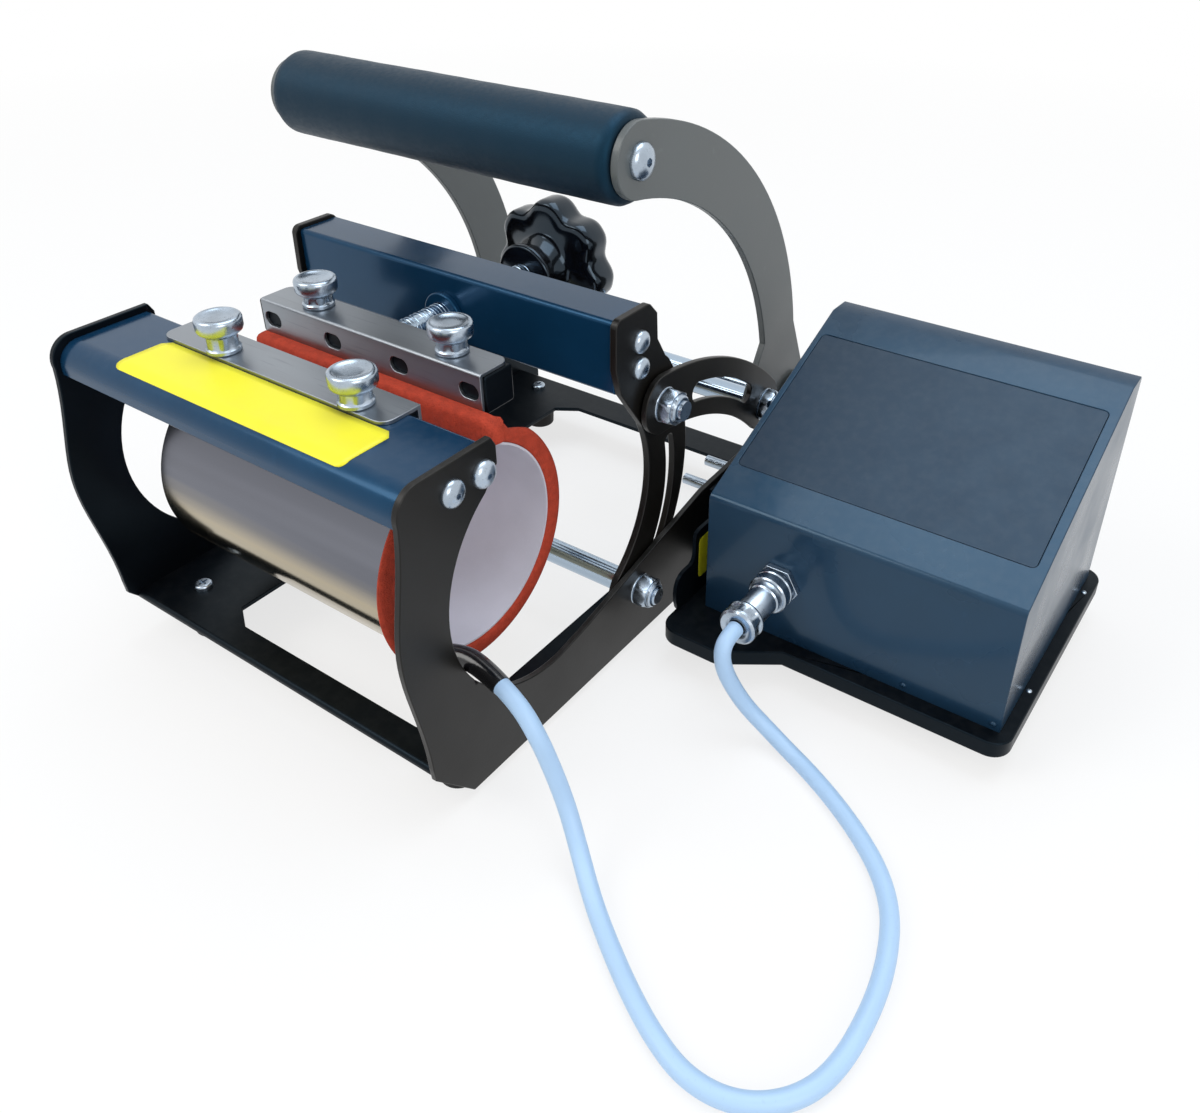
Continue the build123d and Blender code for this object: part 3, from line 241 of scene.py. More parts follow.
class GrainGroups:
    """Shader groups for surface grain, each built once and shared by the finishes."""

    def __init__(self) -> None:
        """Start with no group built."""
        self.built: dict[Grain, bpy.types.NodeTree] = {}
        self.recipes: dict[Grain, Callable[[NodeSheet, GrainEnds], None]] = {
            Grain.PEEL: self.peel,
            Grain.FOAM: self.foam,
            Grain.BRUSHED: self.brushed,
            Grain.MOULDED: self.moulded,
        }

    def get(self, grain: Grain) -> bpy.types.NodeTree:
        """Group of one grain, built on first use.

        Args:
            grain: the kind of grain.

        Returns:
            A tree with inputs Vector, Scale and Stretch and outputs Height, Shade and Mark.
        """
        if grain not in self.built:
            inputs = {"Vector": "Vector", "Scale": "Float", "Stretch": "Vector"}
            outputs = dict.fromkeys(("Height", "Shade", "Mark"), "Float")
            tree = new_group(grain.value, "Shader", inputs, outputs)
            sheet = NodeSheet(tree)
            entry = sheet.add("NodeGroupInput")
            stretched = sheet.add("ShaderNodeVectorMath", {"operation": "MULTIPLY"})
            sheet.feed(stretched.inputs[0], entry.outputs["Vector"])
            sheet.feed(stretched.inputs[1], entry.outputs["Stretch"])
            ends = GrainEnds(stretched.outputs[0], entry.outputs["Scale"], sheet.add("NodeGroupOutput"))
            self.recipes[grain](sheet, ends)
            self.built[grain] = tree
        return self.built[grain]

    def emit(self, sheet: NodeSheet, ends: GrainEnds, height: object, shade: object, mark: object) -> None:
        """Feed a group's three outputs."""
        for name, value in (("Height", height), ("Shade", shade), ("Mark", mark)):
            sheet.feed(ends.out.inputs[name], value)

    def peel(self, sheet: NodeSheet, ends: GrainEnds) -> None:
        """Sprayed paint: fine orange peel, broad unevenness and a few faint rubs."""
        fine = sheet.noise(ends.vector, ends.scale, 1.0)
        broad = sheet.noise(ends.vector, sheet.maths("MULTIPLY", ends.scale, 0.04), 3.0)
        rubs = sheet.noise(ends.vector, sheet.maths("MULTIPLY", ends.scale, 0.22), 6.0)
        self.emit(sheet, ends, fine, broad, sheet.ramp(rubs, 0.66, 0.74))

    def foam(self, sheet: NodeSheet, ends: GrainEnds) -> None:
        """Silicone foam: open pores over a soft uneven skin."""
        cells = sheet.add("ShaderNodeTexVoronoi", Vector=ends.vector, Scale=ends.scale)
        pores = sheet.ramp(cells.outputs["Distance"], 0.1, 0.55)
        soft = sheet.noise(ends.vector, sheet.maths("MULTIPLY", ends.scale, 0.25), 5.0)
        height = sheet.maths("ADD", pores, sheet.maths("MULTIPLY", soft, 0.8))
        self.emit(sheet, ends, height, soft, sheet.ramp(cells.outputs["Distance"], 0.22, 0.05))

    def brushed(self, sheet: NodeSheet, ends: GrainEnds) -> None:
        """Brushed or drawn metal: long fine lines with patches of different polish."""
        lines = sheet.noise(ends.vector, ends.scale, 4.0)
        patches = sheet.noise(ends.vector, sheet.maths("MULTIPLY", ends.scale, 0.07), 3.0)
        self.emit(sheet, ends, lines, patches, sheet.ramp(lines, 0.6, 0.72))

    def moulded(self, sheet: NodeSheet, ends: GrainEnds) -> None:
        """Moulded plastic or rubber: fine spark texture and a soft bloom."""
        spark = sheet.noise(ends.vector, ends.scale, 3.0)
        bloom = sheet.noise(ends.vector, sheet.maths("MULTIPLY", ends.scale, 0.03), 4.0)
        self.emit(sheet, ends, spark, bloom, sheet.ramp(spark, 0.64, 0.7))


def settled_dust() -> bpy.types.NodeTree:
    """Shader group that marks faces which look upwards, broken up by noise.

    Returns:
        A tree with inputs Vector and Amount and the output Dust.
    """
    tree = new_group("settled_dust", "Shader", {"Vector": "Vector", "Amount": "Float"}, {"Dust": "Float"})
    sheet = NodeSheet(tree)
    entry = sheet.add("NodeGroupInput")
    facing = sheet.add("ShaderNodeSeparateXYZ", Vector=sheet.add("ShaderNodeNewGeometry").outputs["Normal"])
    upward = sheet.ramp(facing.outputs["Z"], 0.35, 1.0)
    specks = sheet.ramp(sheet.noise(entry.outputs["Vector"], 260.0, 5.0), 0.42, 0.7)
    amount = sheet.maths("MULTIPLY", sheet.maths("MULTIPLY", upward, specks), entry.outputs["Amount"])
    sheet.feed(sheet.add("NodeGroupOutput").inputs["Dust"], amount)
    return tree


@dataclass(frozen=True)
class Finish:
    """One surface finish of the press and the record slot that it belongs to.

    Where a painted reflection colour is given, that colour takes over between the two heights of its span, in
    metres above the mug's axis, along a line that wavers by the given wave.
    """

    name: str
    slot: Slot
    colour: Colour
    roughness: float
    metallic: float = 0.0
    coat: float = 0.0
    grain: Grain = Grain.PEEL
    scale: float = 900.0
    stretch: Spot = (1.0, 1.0, 1.0)
    bump: float = 0.02
    bump_depth: float = 0.1
    variation: float = 0.08
    mark_shade: float = 1.12
    rough_spread: float = 0.06
    dust: float = 0.0
    specular: float = 0.5
    tint: Colour = (1.0, 1.0, 1.0)
    painted_reflection: Colour | None = None
    reflection_span: Pair = (0.0, 0.0)
    reflection_wave: float = 0.006
    reflection_dimming: float = 0.6

    def build(self, grains: GrainGroups, dust_group: bpy.types.NodeTree) -> bpy.types.Material:
        """Build the material.

        Args:
            grains: the shared grain groups.
            dust_group: the shared dust group.

        Returns:
            The material, with its colour, roughness and relief from Object coordinates.
        """
        material = bpy.data.materials.new(self.name)
        material.use_nodes = True
        sheet = NodeSheet(material.node_tree)
        shader = material.node_tree.nodes["Principled BSDF"]
        place = sheet.add("ShaderNodeTexCoord").outputs["Object"]
        grain = sheet.add("ShaderNodeGroup", {"node_tree": grains.get(self.grain)})
        sheet.feed(grain.inputs["Vector"], place)
        sheet.feed(grain.inputs["Scale"], self.scale)
        sheet.feed(grain.inputs["Stretch"], self.stretch)
        colour = self.coloured(sheet, grain, place)
        rough = sheet.ramp(grain.outputs["Shade"], *MIDTONES, self.rough_limits())
        if self.dust:
            dust = sheet.add("ShaderNodeGroup", {"node_tree": dust_group})
            sheet.feed(dust.inputs["Vector"], place)
            sheet.feed(dust.inputs["Amount"], self.dust)
            colour = sheet.blend(dust.outputs["Dust"], colour, DUST_COLOUR)
            rough = sheet.maths("ADD", rough, sheet.maths("MULTIPLY", dust.outputs["Dust"], DUST_ROUGHNESS))
        sheet.feed(shader.inputs["Base Color"], colour)
        sheet.feed(shader.inputs["Roughness"], rough)
        shader.inputs["Metallic"].default_value = self.metallic
        shader.inputs["Coat Weight"].default_value = self.coat
        shader.inputs["Coat Roughness"].default_value = COAT_ROUGHNESS
        shader.inputs["Specular IOR Level"].default_value = self.specular
        shader.inputs["Specular Tint"].default_value = (*self.tint, 1.0)
        relief = sheet.add("ShaderNodeBump", Height=grain.outputs["Height"])
        relief.inputs["Strength"].default_value = self.bump
        relief.inputs["Distance"].default_value = self.bump_depth * MM
        sheet.feed(shader.inputs["Normal"], relief.outputs["Normal"])
        return material

    def coloured(
        self, sheet: NodeSheet, grain: bpy.types.Node, place: bpy.types.NodeSocket
    ) -> bpy.types.NodeSocket:
        """Colour with the grain's unevenness and marks, and with the painted reflection colour above its
        heights if there is one.

        Args:
            sheet: the material's nodes.
            grain: the finish's grain group.
            place: Object coordinates.

        Returns:
            The colour's socket.
        """
        darker = (*[c * (1 - self.variation) for c in self.colour], 1.0)
        lighter = (*[min(1.0, c * (1 + self.variation)) for c in self.colour], 1.0)
        marked = (*[min(1.0, c * self.mark_shade) for c in self.colour], 1.0)
        shade = sheet.ramp(grain.outputs["Shade"], *MIDTONES)
        colour = sheet.blend(shade, darker, lighter)
        colour = sheet.blend(grain.outputs["Mark"], colour, marked)
        if not self.painted_reflection:
            return colour
        # Painted reflection: above the span's heights the colour changes to the reflection colour, streaked
        # by the grain.
        height = sheet.add("ShaderNodeSeparateXYZ", Vector=place).outputs["Z"]
        waver = sheet.ramp(grain.outputs["Shade"], *MIDTONES, (-self.reflection_wave, self.reflection_wave))
        wave = sheet.maths("ADD", height, waver)
        dimmed = (*[c * self.reflection_dimming for c in self.painted_reflection], 1.0)
        above = sheet.blend(shade, (*self.painted_reflection, 1.0), dimmed)
        return sheet.blend(sheet.ramp(wave, *self.reflection_span), colour, above)

    def rough_limits(self) -> Pair:
        """Lowest and highest roughness of the finish."""
        return (max(0.02, self.roughness - self.rough_spread), min(1.0, self.roughness + self.rough_spread))


class FinishBook:
    """All finishes of the press, built on first use."""

    sheets: dict[str, Finish] = {
        f.name: f
        for f in (
            Finish(
                "black satin paint", Slot.BLACK_PAINT, (0.0058, 0.0052, 0.0044), 0.36, bump=0.12, dust=0.03,
                specular=0.28,
            ),
            # On the pressure bar, this darker black also stands in for the shade inside the bar's open end:
            # partly painted shade.
            Finish(
                "deep black paint", Slot.BLACK_PAINT, (0.0026, 0.0034, 0.0048), 0.34, bump=0.1, dust=0.012,
                specular=0.15, tint=(0.45, 0.75, 1.0),
            ),
            Finish(
                "blue gloss paint", Slot.BLUE_PAINT, (0.004, 0.029, 0.07), 0.2, coat=0.06, bump=0.06,
                dust=0.02, tint=(0.14, 0.52, 1.0), specular=0.55,
            ),
            Finish(
                "box gloss paint", Slot.BLUE_PAINT, (0.009, 0.03, 0.062), 0.3, coat=0.2, bump=0.12,
                dust=0.03, tint=(0.4, 0.72, 1.0), specular=0.45,
            ),
            Finish(
                "handle satin paint", Slot.HANDLE_PAINT, (0.086, 0.099, 0.102), 0.4, coat=0.1, bump=0.14,
                dust=0.03,
            ),
            # The band's warm main colour is a painted reflection of the floor and pan below; its darker
            # bluish upper colour is a painted reflection of the surroundings above.
            Finish(
                "polished band steel", Slot.POLISHED_STEEL, (0.46, 0.395, 0.275), 0.17, 1.0,
                grain=Grain.BRUSHED, scale=700.0, stretch=(0.03, 1.0, 1.0), bump=0.05, variation=0.16,
                mark_shade=0.85, painted_reflection=(0.2, 0.207, 0.24), reflection_span=(-0.006, 0.008),
            ),
            Finish(
                "brushed tab steel", Slot.TAB_STEEL, (0.3, 0.325, 0.355), 0.36, 1.0, grain=Grain.BRUSHED,
                scale=900.0, stretch=(0.05, 1.0, 1.0), bump=0.12, variation=0.12, mark_shade=0.85,
            ),
            Finish(
                "bright zinc", Slot.ZINC, (0.42, 0.49, 0.57), 0.27, 1.0, grain=Grain.BRUSHED,
                scale=1200.0, bump=0.05, variation=0.2, mark_shade=0.7,
            ),
            Finish(
                "drawn rod steel", Slot.ZINC, (0.42, 0.52, 0.63), 0.18, 1.0, grain=Grain.BRUSHED,
                scale=500.0, stretch=(0.03, 1.0, 1.0), bump=0.008, variation=0.06, mark_shade=0.96,
                rough_spread=0.03,
            ),
            Finish(
                "brick foam", Slot.RED_FOAM, (0.45, 0.055, 0.028), 0.85, grain=Grain.FOAM, specular=0.2,
                scale=1500.0, bump=0.55, bump_depth=0.25, variation=0.16, mark_shade=0.55,
            ),
            Finish(
                "grey lining cloth", Slot.GREY_LINING, (0.66, 0.64, 0.71), 0.55, grain=Grain.MOULDED,
                scale=1600.0, bump=0.3, variation=0.05, mark_shade=1.03,
            ),
            Finish(
                "grip foam", Slot.GRIP_RUBBER, (0.004, 0.009, 0.015), 0.48, grain=Grain.FOAM, scale=2200.0,
                tint=(0.12, 0.55, 1.0), bump=0.25, bump_depth=0.12, variation=0.12, mark_shade=0.7,
            ),
            Finish(
                "knob gloss plastic", Slot.KNOB_PLASTIC, (0.004, 0.004, 0.005), 0.13, coat=0.2,
                grain=Grain.MOULDED, scale=700.0, bump=0.05, dust=0.02, tint=(0.5, 0.75, 1.0),
            ),
            Finish(
                "panel film", Slot.PANEL_PLASTIC, (0.011, 0.019, 0.034), 0.36, grain=Grain.MOULDED,
                scale=2600.0, bump=0.14, variation=0.1, dust=0.03, tint=(0.5, 0.75, 1.0), specular=0.45,
            ),
            Finish(
                "black rubber", Slot.BLACK_RUBBER, (0.008, 0.008, 0.008), 0.6, grain=Grain.MOULDED,
                scale=1500.0, bump=0.35, dust=0.05, specular=0.35,
            ),
            Finish(
                "heat shrink", Slot.BLACK_RUBBER, (0.005, 0.005, 0.006), 0.2, coat=0.3, grain=Grain.MOULDED,
                scale=500.0, bump=0.25, bump_depth=0.3,
            ),
            Finish(
                "cable sleeving", Slot.CABLE_SLEEVING, (0.43, 0.62, 0.86), 0.42, grain=Grain.MOULDED,
                scale=900.0, bump=0.15, variation=0.04, mark_shade=0.96,
            ),
            Finish("green board", Slot.BOARD_GREEN, (0.02, 0.13, 0.05), 0.35, coat=0.4, grain=Grain.MOULDED),
            Finish("blue relay", Slot.RELAY_BLUE, (0.02, 0.08, 0.33), 0.35, grain=Grain.MOULDED, bump=0.1),
            Finish(
                "plain yellow film", Slot.PANEL_PLASTIC, (0.86, 0.79, 0.02), 0.4, grain=Grain.MOULDED,
                scale=1100.0, bump=0.1, variation=0.04, mark_shade=0.97, dust=0.02,
            ),
        )
    }

    def __init__(self) -> None:
        """Build the shared groups."""
        self.grains = GrainGroups()
        self.dust = settled_dust()
        self.made: dict[str, bpy.types.Material] = {}

    def material(self, name: str) -> bpy.types.Material:
        """Material of a finish by its name."""
        if name not in self.made:
            self.made[name] = self.sheets[name].build(self.grains, self.dust)
        return self.made[name]

    def dress(self, piece: bpy.types.Object, name: str) -> None:
        """Give a piece one finish."""
        piece.data.materials.clear()
        piece.data.materials.append(self.material(name))


class Workshop:
    """Makes pieces, sets them in the scene and ties them to the frame."""

    WELD = 2e-6
    FLATNESS = 0.6
    CREASE = 40.0

    def __init__(self, frame: dict) -> None:
        """Keep the frame and start the finishes."""
        self.frame = frame
        self.book = FinishBook()
        bodies = frame["record"]["behaviour"]["bodies"]
        self.node_body = {node: body for body, nodes in bodies.items() for node in nodes}

    def place(self, name: str, mesh: bpy.types.Mesh, finish: str) -> bpy.types.Object:
        """Set a mesh in the scene as a dressed object at the origin.

        Args:
            name: the piece's name.
            mesh: its mesh, in the row frame.
            finish: the name of its finish.

        Returns:
            The object, tied to nothing yet.
        """
        piece = self.bare(name, mesh)
        self.book.dress(piece, finish)
        return piece

    def bare(self, name: str, mesh: bpy.types.Mesh) -> bpy.types.Object:
        """Set a mesh in the scene at the origin, with no finish yet."""
        piece = bpy.data.objects.new(name, mesh)
        bpy.context.scene.collection.objects.link(piece)
        return piece

    def made(
        self, name: str, shape: bmesh.types.BMesh, finish: str, degrees: float = EDGE_ANGLE
    ) -> bpy.types.Object:
        """Set a working shape in the scene as a dressed object, with edges sharper than the angle kept."""
        return self.place(name, self.mesh_from(name, shape, degrees), finish)

    def paint(self, node: str, finish: str) -> None:
        """Dress a CAD node that stays as it is."""
        self.book.dress(self.frame["nodes"][node], finish)

    def settle(self, piece: bpy.types.Object, body: str, *nodes: str) -> bpy.types.Object:
        """Make a piece ride on a body and stand for its CAD nodes."""
        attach(piece, body)
        if nodes:
            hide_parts(*nodes)
        LOG.info("%s rides on %s", piece.name, body)
        return piece

    def smooth(self, mesh: bpy.types.Mesh, degrees: float = EDGE_ANGLE) -> bpy.types.Mesh:
        """Shade a mesh smooth, with edges sharper than the angle kept."""
        mesh.polygons.foreach_set("use_smooth", [True] * len(mesh.polygons))
        mesh.set_sharp_from_angle(angle=math.radians(degrees))
        return mesh

    def mesh_from(self, name: str, shape: bmesh.types.BMesh, degrees: float = EDGE_ANGLE) -> bpy.types.Mesh:
        """Turn a working shape into a smooth-shaded mesh whose faces point outwards."""
        bmesh.ops.remove_doubles(shape, verts=shape.verts, dist=1e-7)
        bmesh.ops.recalc_face_normals(shape, faces=shape.faces)
        mesh = bpy.data.meshes.new(name)
        shape.to_mesh(mesh)
        shape.free()
        return self.smooth(mesh, degrees)

    def eased(
        self,
        node: str,
        finish: str,
        edge: float,
        rounds: int = 2,
        reshape: Callable[[Spot], Spot] | None = None,
        join_flats: bool = True,
    ) -> bpy.types.Object:
        """Copy of a CAD node with its sharp edges eased.

        Args:
            node: the CAD node's name.
            finish: the name of its finish.
            edge: width of the eased edge, in millimetres.
            rounds: facets across the eased edge.
            reshape: new bench place of each point, where the copy differs from the node.
            join_flats: whether flat faces are joined before the edges are eased.

        Returns:
            The piece, which replaces the node on its own body.
        """
        shape = bmesh.new()
        shape.from_mesh(self.frame["nodes"][node].data)
        bmesh.ops.remove_doubles(shape, verts=shape.verts, dist=self.WELD)
        if join_flats:
            bmesh.ops.dissolve_limit(
                shape,
                angle_limit=math.radians(self.FLATNESS),
                verts=shape.verts,
                edges=shape.edges,
                use_dissolve_boundaries=False,
            )
        if reshape:
            for corner in shape.verts:
                x, depth, height = corner.co / MM
                corner.co = at(*reshape((x, depth + SEAT_DEPTH, height + SEAT_HEIGHT)))
        mesh = bpy.data.meshes.new(node)
        shape.to_mesh(mesh)
        shape.free()
        if "custom_normal" in mesh.attributes:
            mesh.attributes.remove(mesh.attributes["custom_normal"])
        self.smooth(mesh, self.CREASE)
        piece = self.place(f"{node}_eased", mesh, finish)
        self.ease(piece, edge, rounds)
        return self.settle(piece, self.node_body[node], node)

    def ease(self, piece: bpy.types.Object, edge: float, rounds: int) -> None:
        """Round a piece's sharp edges, and keep its faces evenly shaded."""
        rim = piece.modifiers.new("eased rim", "BEVEL")
        rim.width = edge * MM
        rim.segments = rounds
        rim.limit_method = "ANGLE"
        rim.angle_limit = math.radians(self.CREASE)
        rim.use_clamp_overlap = False
        weigh = piece.modifiers.new("even shading", "WEIGHTED_NORMAL")
        weigh.keep_sharp = True

    def grow(self, piece: bpy.types.Object, tree: bpy.types.NodeTree, values: dict[str, object]) -> None:
        """Run a Geometry Nodes tree on a piece and keep the result as the piece's plain mesh.

        Args:
            piece: the piece that the tree starts from.
            tree: the tree.
            values: values of the tree's inputs by their names.
        """
        modifier = piece.modifiers.new(tree.name, "NODES")
        modifier.node_group = tree
        for item in tree.interface.items_tree:
            if item.in_out == "INPUT" and item.name in values:
                modifier[item.identifier] = values[item.name]
        bpy.context.view_layer.update()
        seen = bpy.context.evaluated_depsgraph_get()
        mesh = bpy.data.meshes.new_from_object(piece.evaluated_get(seen))
        piece.modifiers.clear()
        piece.data = mesh


def stitch(shape: bmesh.types.BMesh, rows: Sequence[Sequence[bmesh.types.BMVert]]) -> None:
    """Join rows of corners with faces, where each row is closed on itself."""
    for low, high in zip(rows, rows[1:]):
        for k in range(len(low)):
            n = (k + 1) % len(low)
            shape.faces.new((low[k], low[n], high[n], high[k]))


@dataclass(frozen=True)
class Ring:
    """One ring of a turned piece: its radius, its place along the axis and its hexagon's width, if any."""

    radius: float
    along: float
    across: float = 0.0

    def reach(self, angle: float) -> float:
        """Radius of the ring at an angle, cut by the hexagon where it has one."""
        if not self.across:
            return self.radius
        beside = (angle + math.pi / 6) % (math.pi / 3) - math.pi / 6
        return min(self.radius, self.across / 2 / math.cos(beside))


@dataclass
class Turning:
    """A turned piece: rings along an axis, closed where a ring has no radius."""

    rings: Sequence[Ring]
    sides: int = 48

    def shape(self, along: Vector, base: Vector) -> bmesh.types.BMesh:
        """Build the surface.

        Args:
            along: the direction of the axis.
            base: where the axis starts, in the row frame.

        Returns:
            The closed surface.
        """
        turn = UPWARDS.rotation_difference(along).to_matrix()
        shape = bmesh.new()
        rows = []
        for ring in self.rings:
            row = []
            for k in range(self.sides):
                angle = FULL_TURN * k / self.sides
                reach = ring.reach(angle)
                spot = Vector((reach * math.cos(angle), reach * math.sin(angle), ring.along)) * MM
                row.append(shape.verts.new(base + turn @ spot))
            rows.append(row)
        stitch(shape, rows)
        return shape


def dome_screw(head: float, tall: float, socket: float) -> Turning:
    """Dome-head screw with a hexagon socket, standing on its seat."""
    rim = tall * 0.25
    floor = tall * 0.45
    arc = [Ring(head * math.cos(a), rim + (tall - rim) * math.sin(a)) for a in (0.0, 0.35, 0.7, 1.0)]
    crown = [Ring(socket * 0.75, tall), Ring(socket, tall * 0.99, socket), Ring(socket, floor, socket)]
    return Turning([Ring(0, 0), Ring(head, 0), *arc, *crown, Ring(0, floor)])


def lock_nut(
    across: float, thick: float, rod: float, washer: float, end: float, wide: float = 0.54
) -> Turning:
    """Washer, chamfered hexagon, nylon collar and the rod's end, as one turned stack.

    Args:
        across: the nut's width across flats.
        thick: height of its hexagon.
        rod: the rod's diameter.
        washer: the washer's thickness.
        end: how far the rod's end stands out from the plate.
        wide: the washer's radius as a share of the width across flats.

    Returns:
        The stack, standing on the plate.
    """
    corner = across / 2 / math.cos(math.pi / 6)
    top = washer + thick
    return Turning(
        [
            Ring(0, 0),
            Ring(across * wide, 0),
            Ring(across * wide, washer - 0.25),
            Ring(across * (wide - 0.02), washer),
            Ring(across * 0.49, washer + 0.02),
            Ring(across * 0.5, washer + 0.03, across),
            Ring(corner, washer + thick * 0.14, across),
            Ring(corner, washer + thick * 0.84, across),
            Ring(across * 0.49, top, across),
            Ring(across * 0.44, top + 0.1),
            Ring(across * 0.43, top + 1.1),
            Ring(across * 0.38, top + 1.7),
            Ring(rod * 0.56, top + 1.6),
            Ring(rod * 0.5, top + 0.9),
            Ring(rod * 0.5, end - 0.7),
            Ring(rod * 0.42, end),
            Ring(0, end),
        ]
    )


class Scatter:
    """Geometry Nodes tree that repeats one template piece at turned points."""

    TURN = "turn"
    RIGHT_TURN = 0.4
    RIGHT_STEP = 0.83
    LEFT_TURN = 0.9
    LEFT_STEP = 0.57

    def __init__(self, shop: Workshop) -> None:
        """Build the tree once."""
        self.shop = shop
        inputs = {"Points": "Geometry", "Template": "Object", "Size": "Float", "Finish": "Material"}
        tree = new_group("repeat at points", "Geometry", inputs, {"Pieces": "Geometry"})
        sheet = NodeSheet(tree)
        entry = sheet.add("NodeGroupInput")
        template = sheet.add("GeometryNodeObjectInfo", Object=entry.outputs["Template"])
        turn = sheet.add("GeometryNodeInputNamedAttribute", {"data_type": "FLOAT_VECTOR"}, Name=self.TURN)
        copies = sheet.add(
            "GeometryNodeInstanceOnPoints",
            Points=entry.outputs["Points"],
            Instance=template.outputs["Geometry"],
            Rotation=turn.outputs["Attribute"],
            Scale=entry.outputs["Size"],
        )
        sheet.close(copies.outputs["Instances"], entry.outputs["Finish"], "Pieces")
        self.tree = tree

    def spread(
        self, name: str, turning: Turning, spots: Sequence[tuple[Vector, Spot]], finish: str
    ) -> bpy.types.Object:
        """Repeat a turned template whose axis is +X.

        Args:
            name: the piece's name.
            turning: the template.
            spots: places with their turns in radians.
            finish: the name of the finish.

        Returns:
            One plain mesh object with all the copies.
        """
        shape = turning.shape(TO_RIGHT, Vector())
        template = bpy.data.objects.new("template", self.shop.mesh_from("template", shape))
        bpy.context.scene.collection.objects.link(template)
        cloud = bpy.data.meshes.new(name)
        cloud.from_pydata([spot for spot, _ in spots], [], [])
        turns = cloud.attributes.new(self.TURN, "FLOAT_VECTOR", "POINT")
        for k, (_, turn) in enumerate(spots):
            turns.data[k].vector = turn
        piece = self.shop.bare(name, cloud)
        values = {"Template": template, "Size": 1.0, "Finish": self.shop.book.material(finish)}
        self.shop.grow(piece, self.tree, values)
        bpy.data.objects.remove(template)
        if self.TURN in piece.data.attributes:
            piece.data.attributes.remove(piece.data.attributes[self.TURN])
        self.shop.book.dress(piece, finish)
        return piece

    def pairs(
        self, name: str, turning: Turning, x: float, spots: Sequence[Pair], finish: str
    ) -> bpy.types.Object:
        """Repeat a template on both sides of the press, with each copy turned a little differently.

        Args:
            name: the piece's name.
            turning: the template, with its axis along +X.
            x: how far from the middle the copies stand.
            spots: depth and height of each pair.
            finish: the name of the finish.

        Returns:
            One plain mesh object with all the copies.
        """
        places = []
        for k, (depth, height) in enumerate(spots):
            places.append((at(x, depth, height), (self.RIGHT_TURN + self.RIGHT_STEP * k, 0.0, 0.0)))
            places.append((at(-x, depth, height), (self.LEFT_TURN + self.LEFT_STEP * k, 0.0, math.pi)))
        return self.spread(name, turning, places, finish)


class Thread:
    """Geometry Nodes tree of a threaded rod: a core and a spiral ridge."""

    RIDGE_SHARE = 0.12
    TURN_POINTS = 28
    RIDGE_POINTS = 6
    CORE_SIDES = 40

    def __init__(self, shop: Workshop) -> None:
        """Build the tree once."""
        self.shop = shop
        sizes = dict.fromkeys(("Radius", "Turns", "Length", "Ridge"), "Float")
        inputs = {"Base": "Geometry", **sizes, "Finish": "Material"}
        tree = new_group("threaded rod", "Geometry", inputs, {"Rod": "Geometry"})
        sheet = NodeSheet(tree)
        entry = sheet.add("NodeGroupInput")
        radius, length = entry.outputs["Radius"], entry.outputs["Length"]
        turns = entry.outputs["Turns"]
        points = self.TURN_POINTS
        spiral = sheet.add("GeometryNodeCurveSpiral", Resolution=points, Rotations=turns, Height=length)
        sheet.feed(spiral.inputs["Start Radius"], radius)
        sheet.feed(spiral.inputs["End Radius"], radius)
        ridge = sheet.add("GeometryNodeCurvePrimitiveCircle", Resolution=self.RIDGE_POINTS)
        sheet.feed(ridge.inputs["Radius"], entry.outputs["Ridge"])
        worm = sheet.add(
            "GeometryNodeCurveToMesh",
            Curve=spiral.outputs["Curve"],
            Profile_Curve=ridge.outputs["Curve"],
            Fill_Caps=True,
        )
        core = sheet.add("GeometryNodeMeshCylinder", Vertices=self.CORE_SIDES, Radius=radius, Depth=length)
        half = sheet.add("ShaderNodeCombineXYZ", Z=sheet.maths("MULTIPLY", length, 0.5))
        lift = half.outputs["Vector"]
        raised = sheet.add("GeometryNodeTransform", Geometry=core.outputs["Mesh"], Translation=lift)
        both = sheet.add("GeometryNodeJoinGeometry")
        sheet.feed(both.inputs[0], raised.outputs["Geometry"])
        sheet.feed(both.inputs[0], worm.outputs["Mesh"])
        sheet.close(both.outputs["Geometry"], entry.outputs["Finish"], "Rod")
        self.tree = tree

    def cut(
        self, name: str, base: Vector, along: Vector, outer: float, length: float, pitch: float, finish: str
    ) -> bpy.types.Object:
        """Threaded rod from a base point.

        Args:
            name: the piece's name.
            base: the rod's start, in the row frame.
            along: its direction.
            outer: outer diameter in millimetres.
            length: length in millimetres.
            pitch: thread pitch in millimetres.
            finish: the name of the finish.

        Returns:
            The rod as one plain mesh object.
        """
        ridge = pitch * self.RIDGE_SHARE
        piece = self.shop.bare(name, bpy.data.meshes.new(name))
        values = {
            "Radius": (outer / 2 - ridge) * MM,
            "Turns": length / pitch,
            "Length": length * MM,
            "Ridge": ridge * MM,
            "Finish": self.shop.book.material(finish),
        }
        self.shop.grow(piece, self.tree, values)
        turn = UPWARDS.rotation_difference(along).to_matrix().to_4x4()
        piece.data.transform(Matrix.Translation(base) @ turn)
        self.shop.smooth(piece.data, ROUND_ANGLE)
        self.shop.book.dress(piece, finish)
        return piece


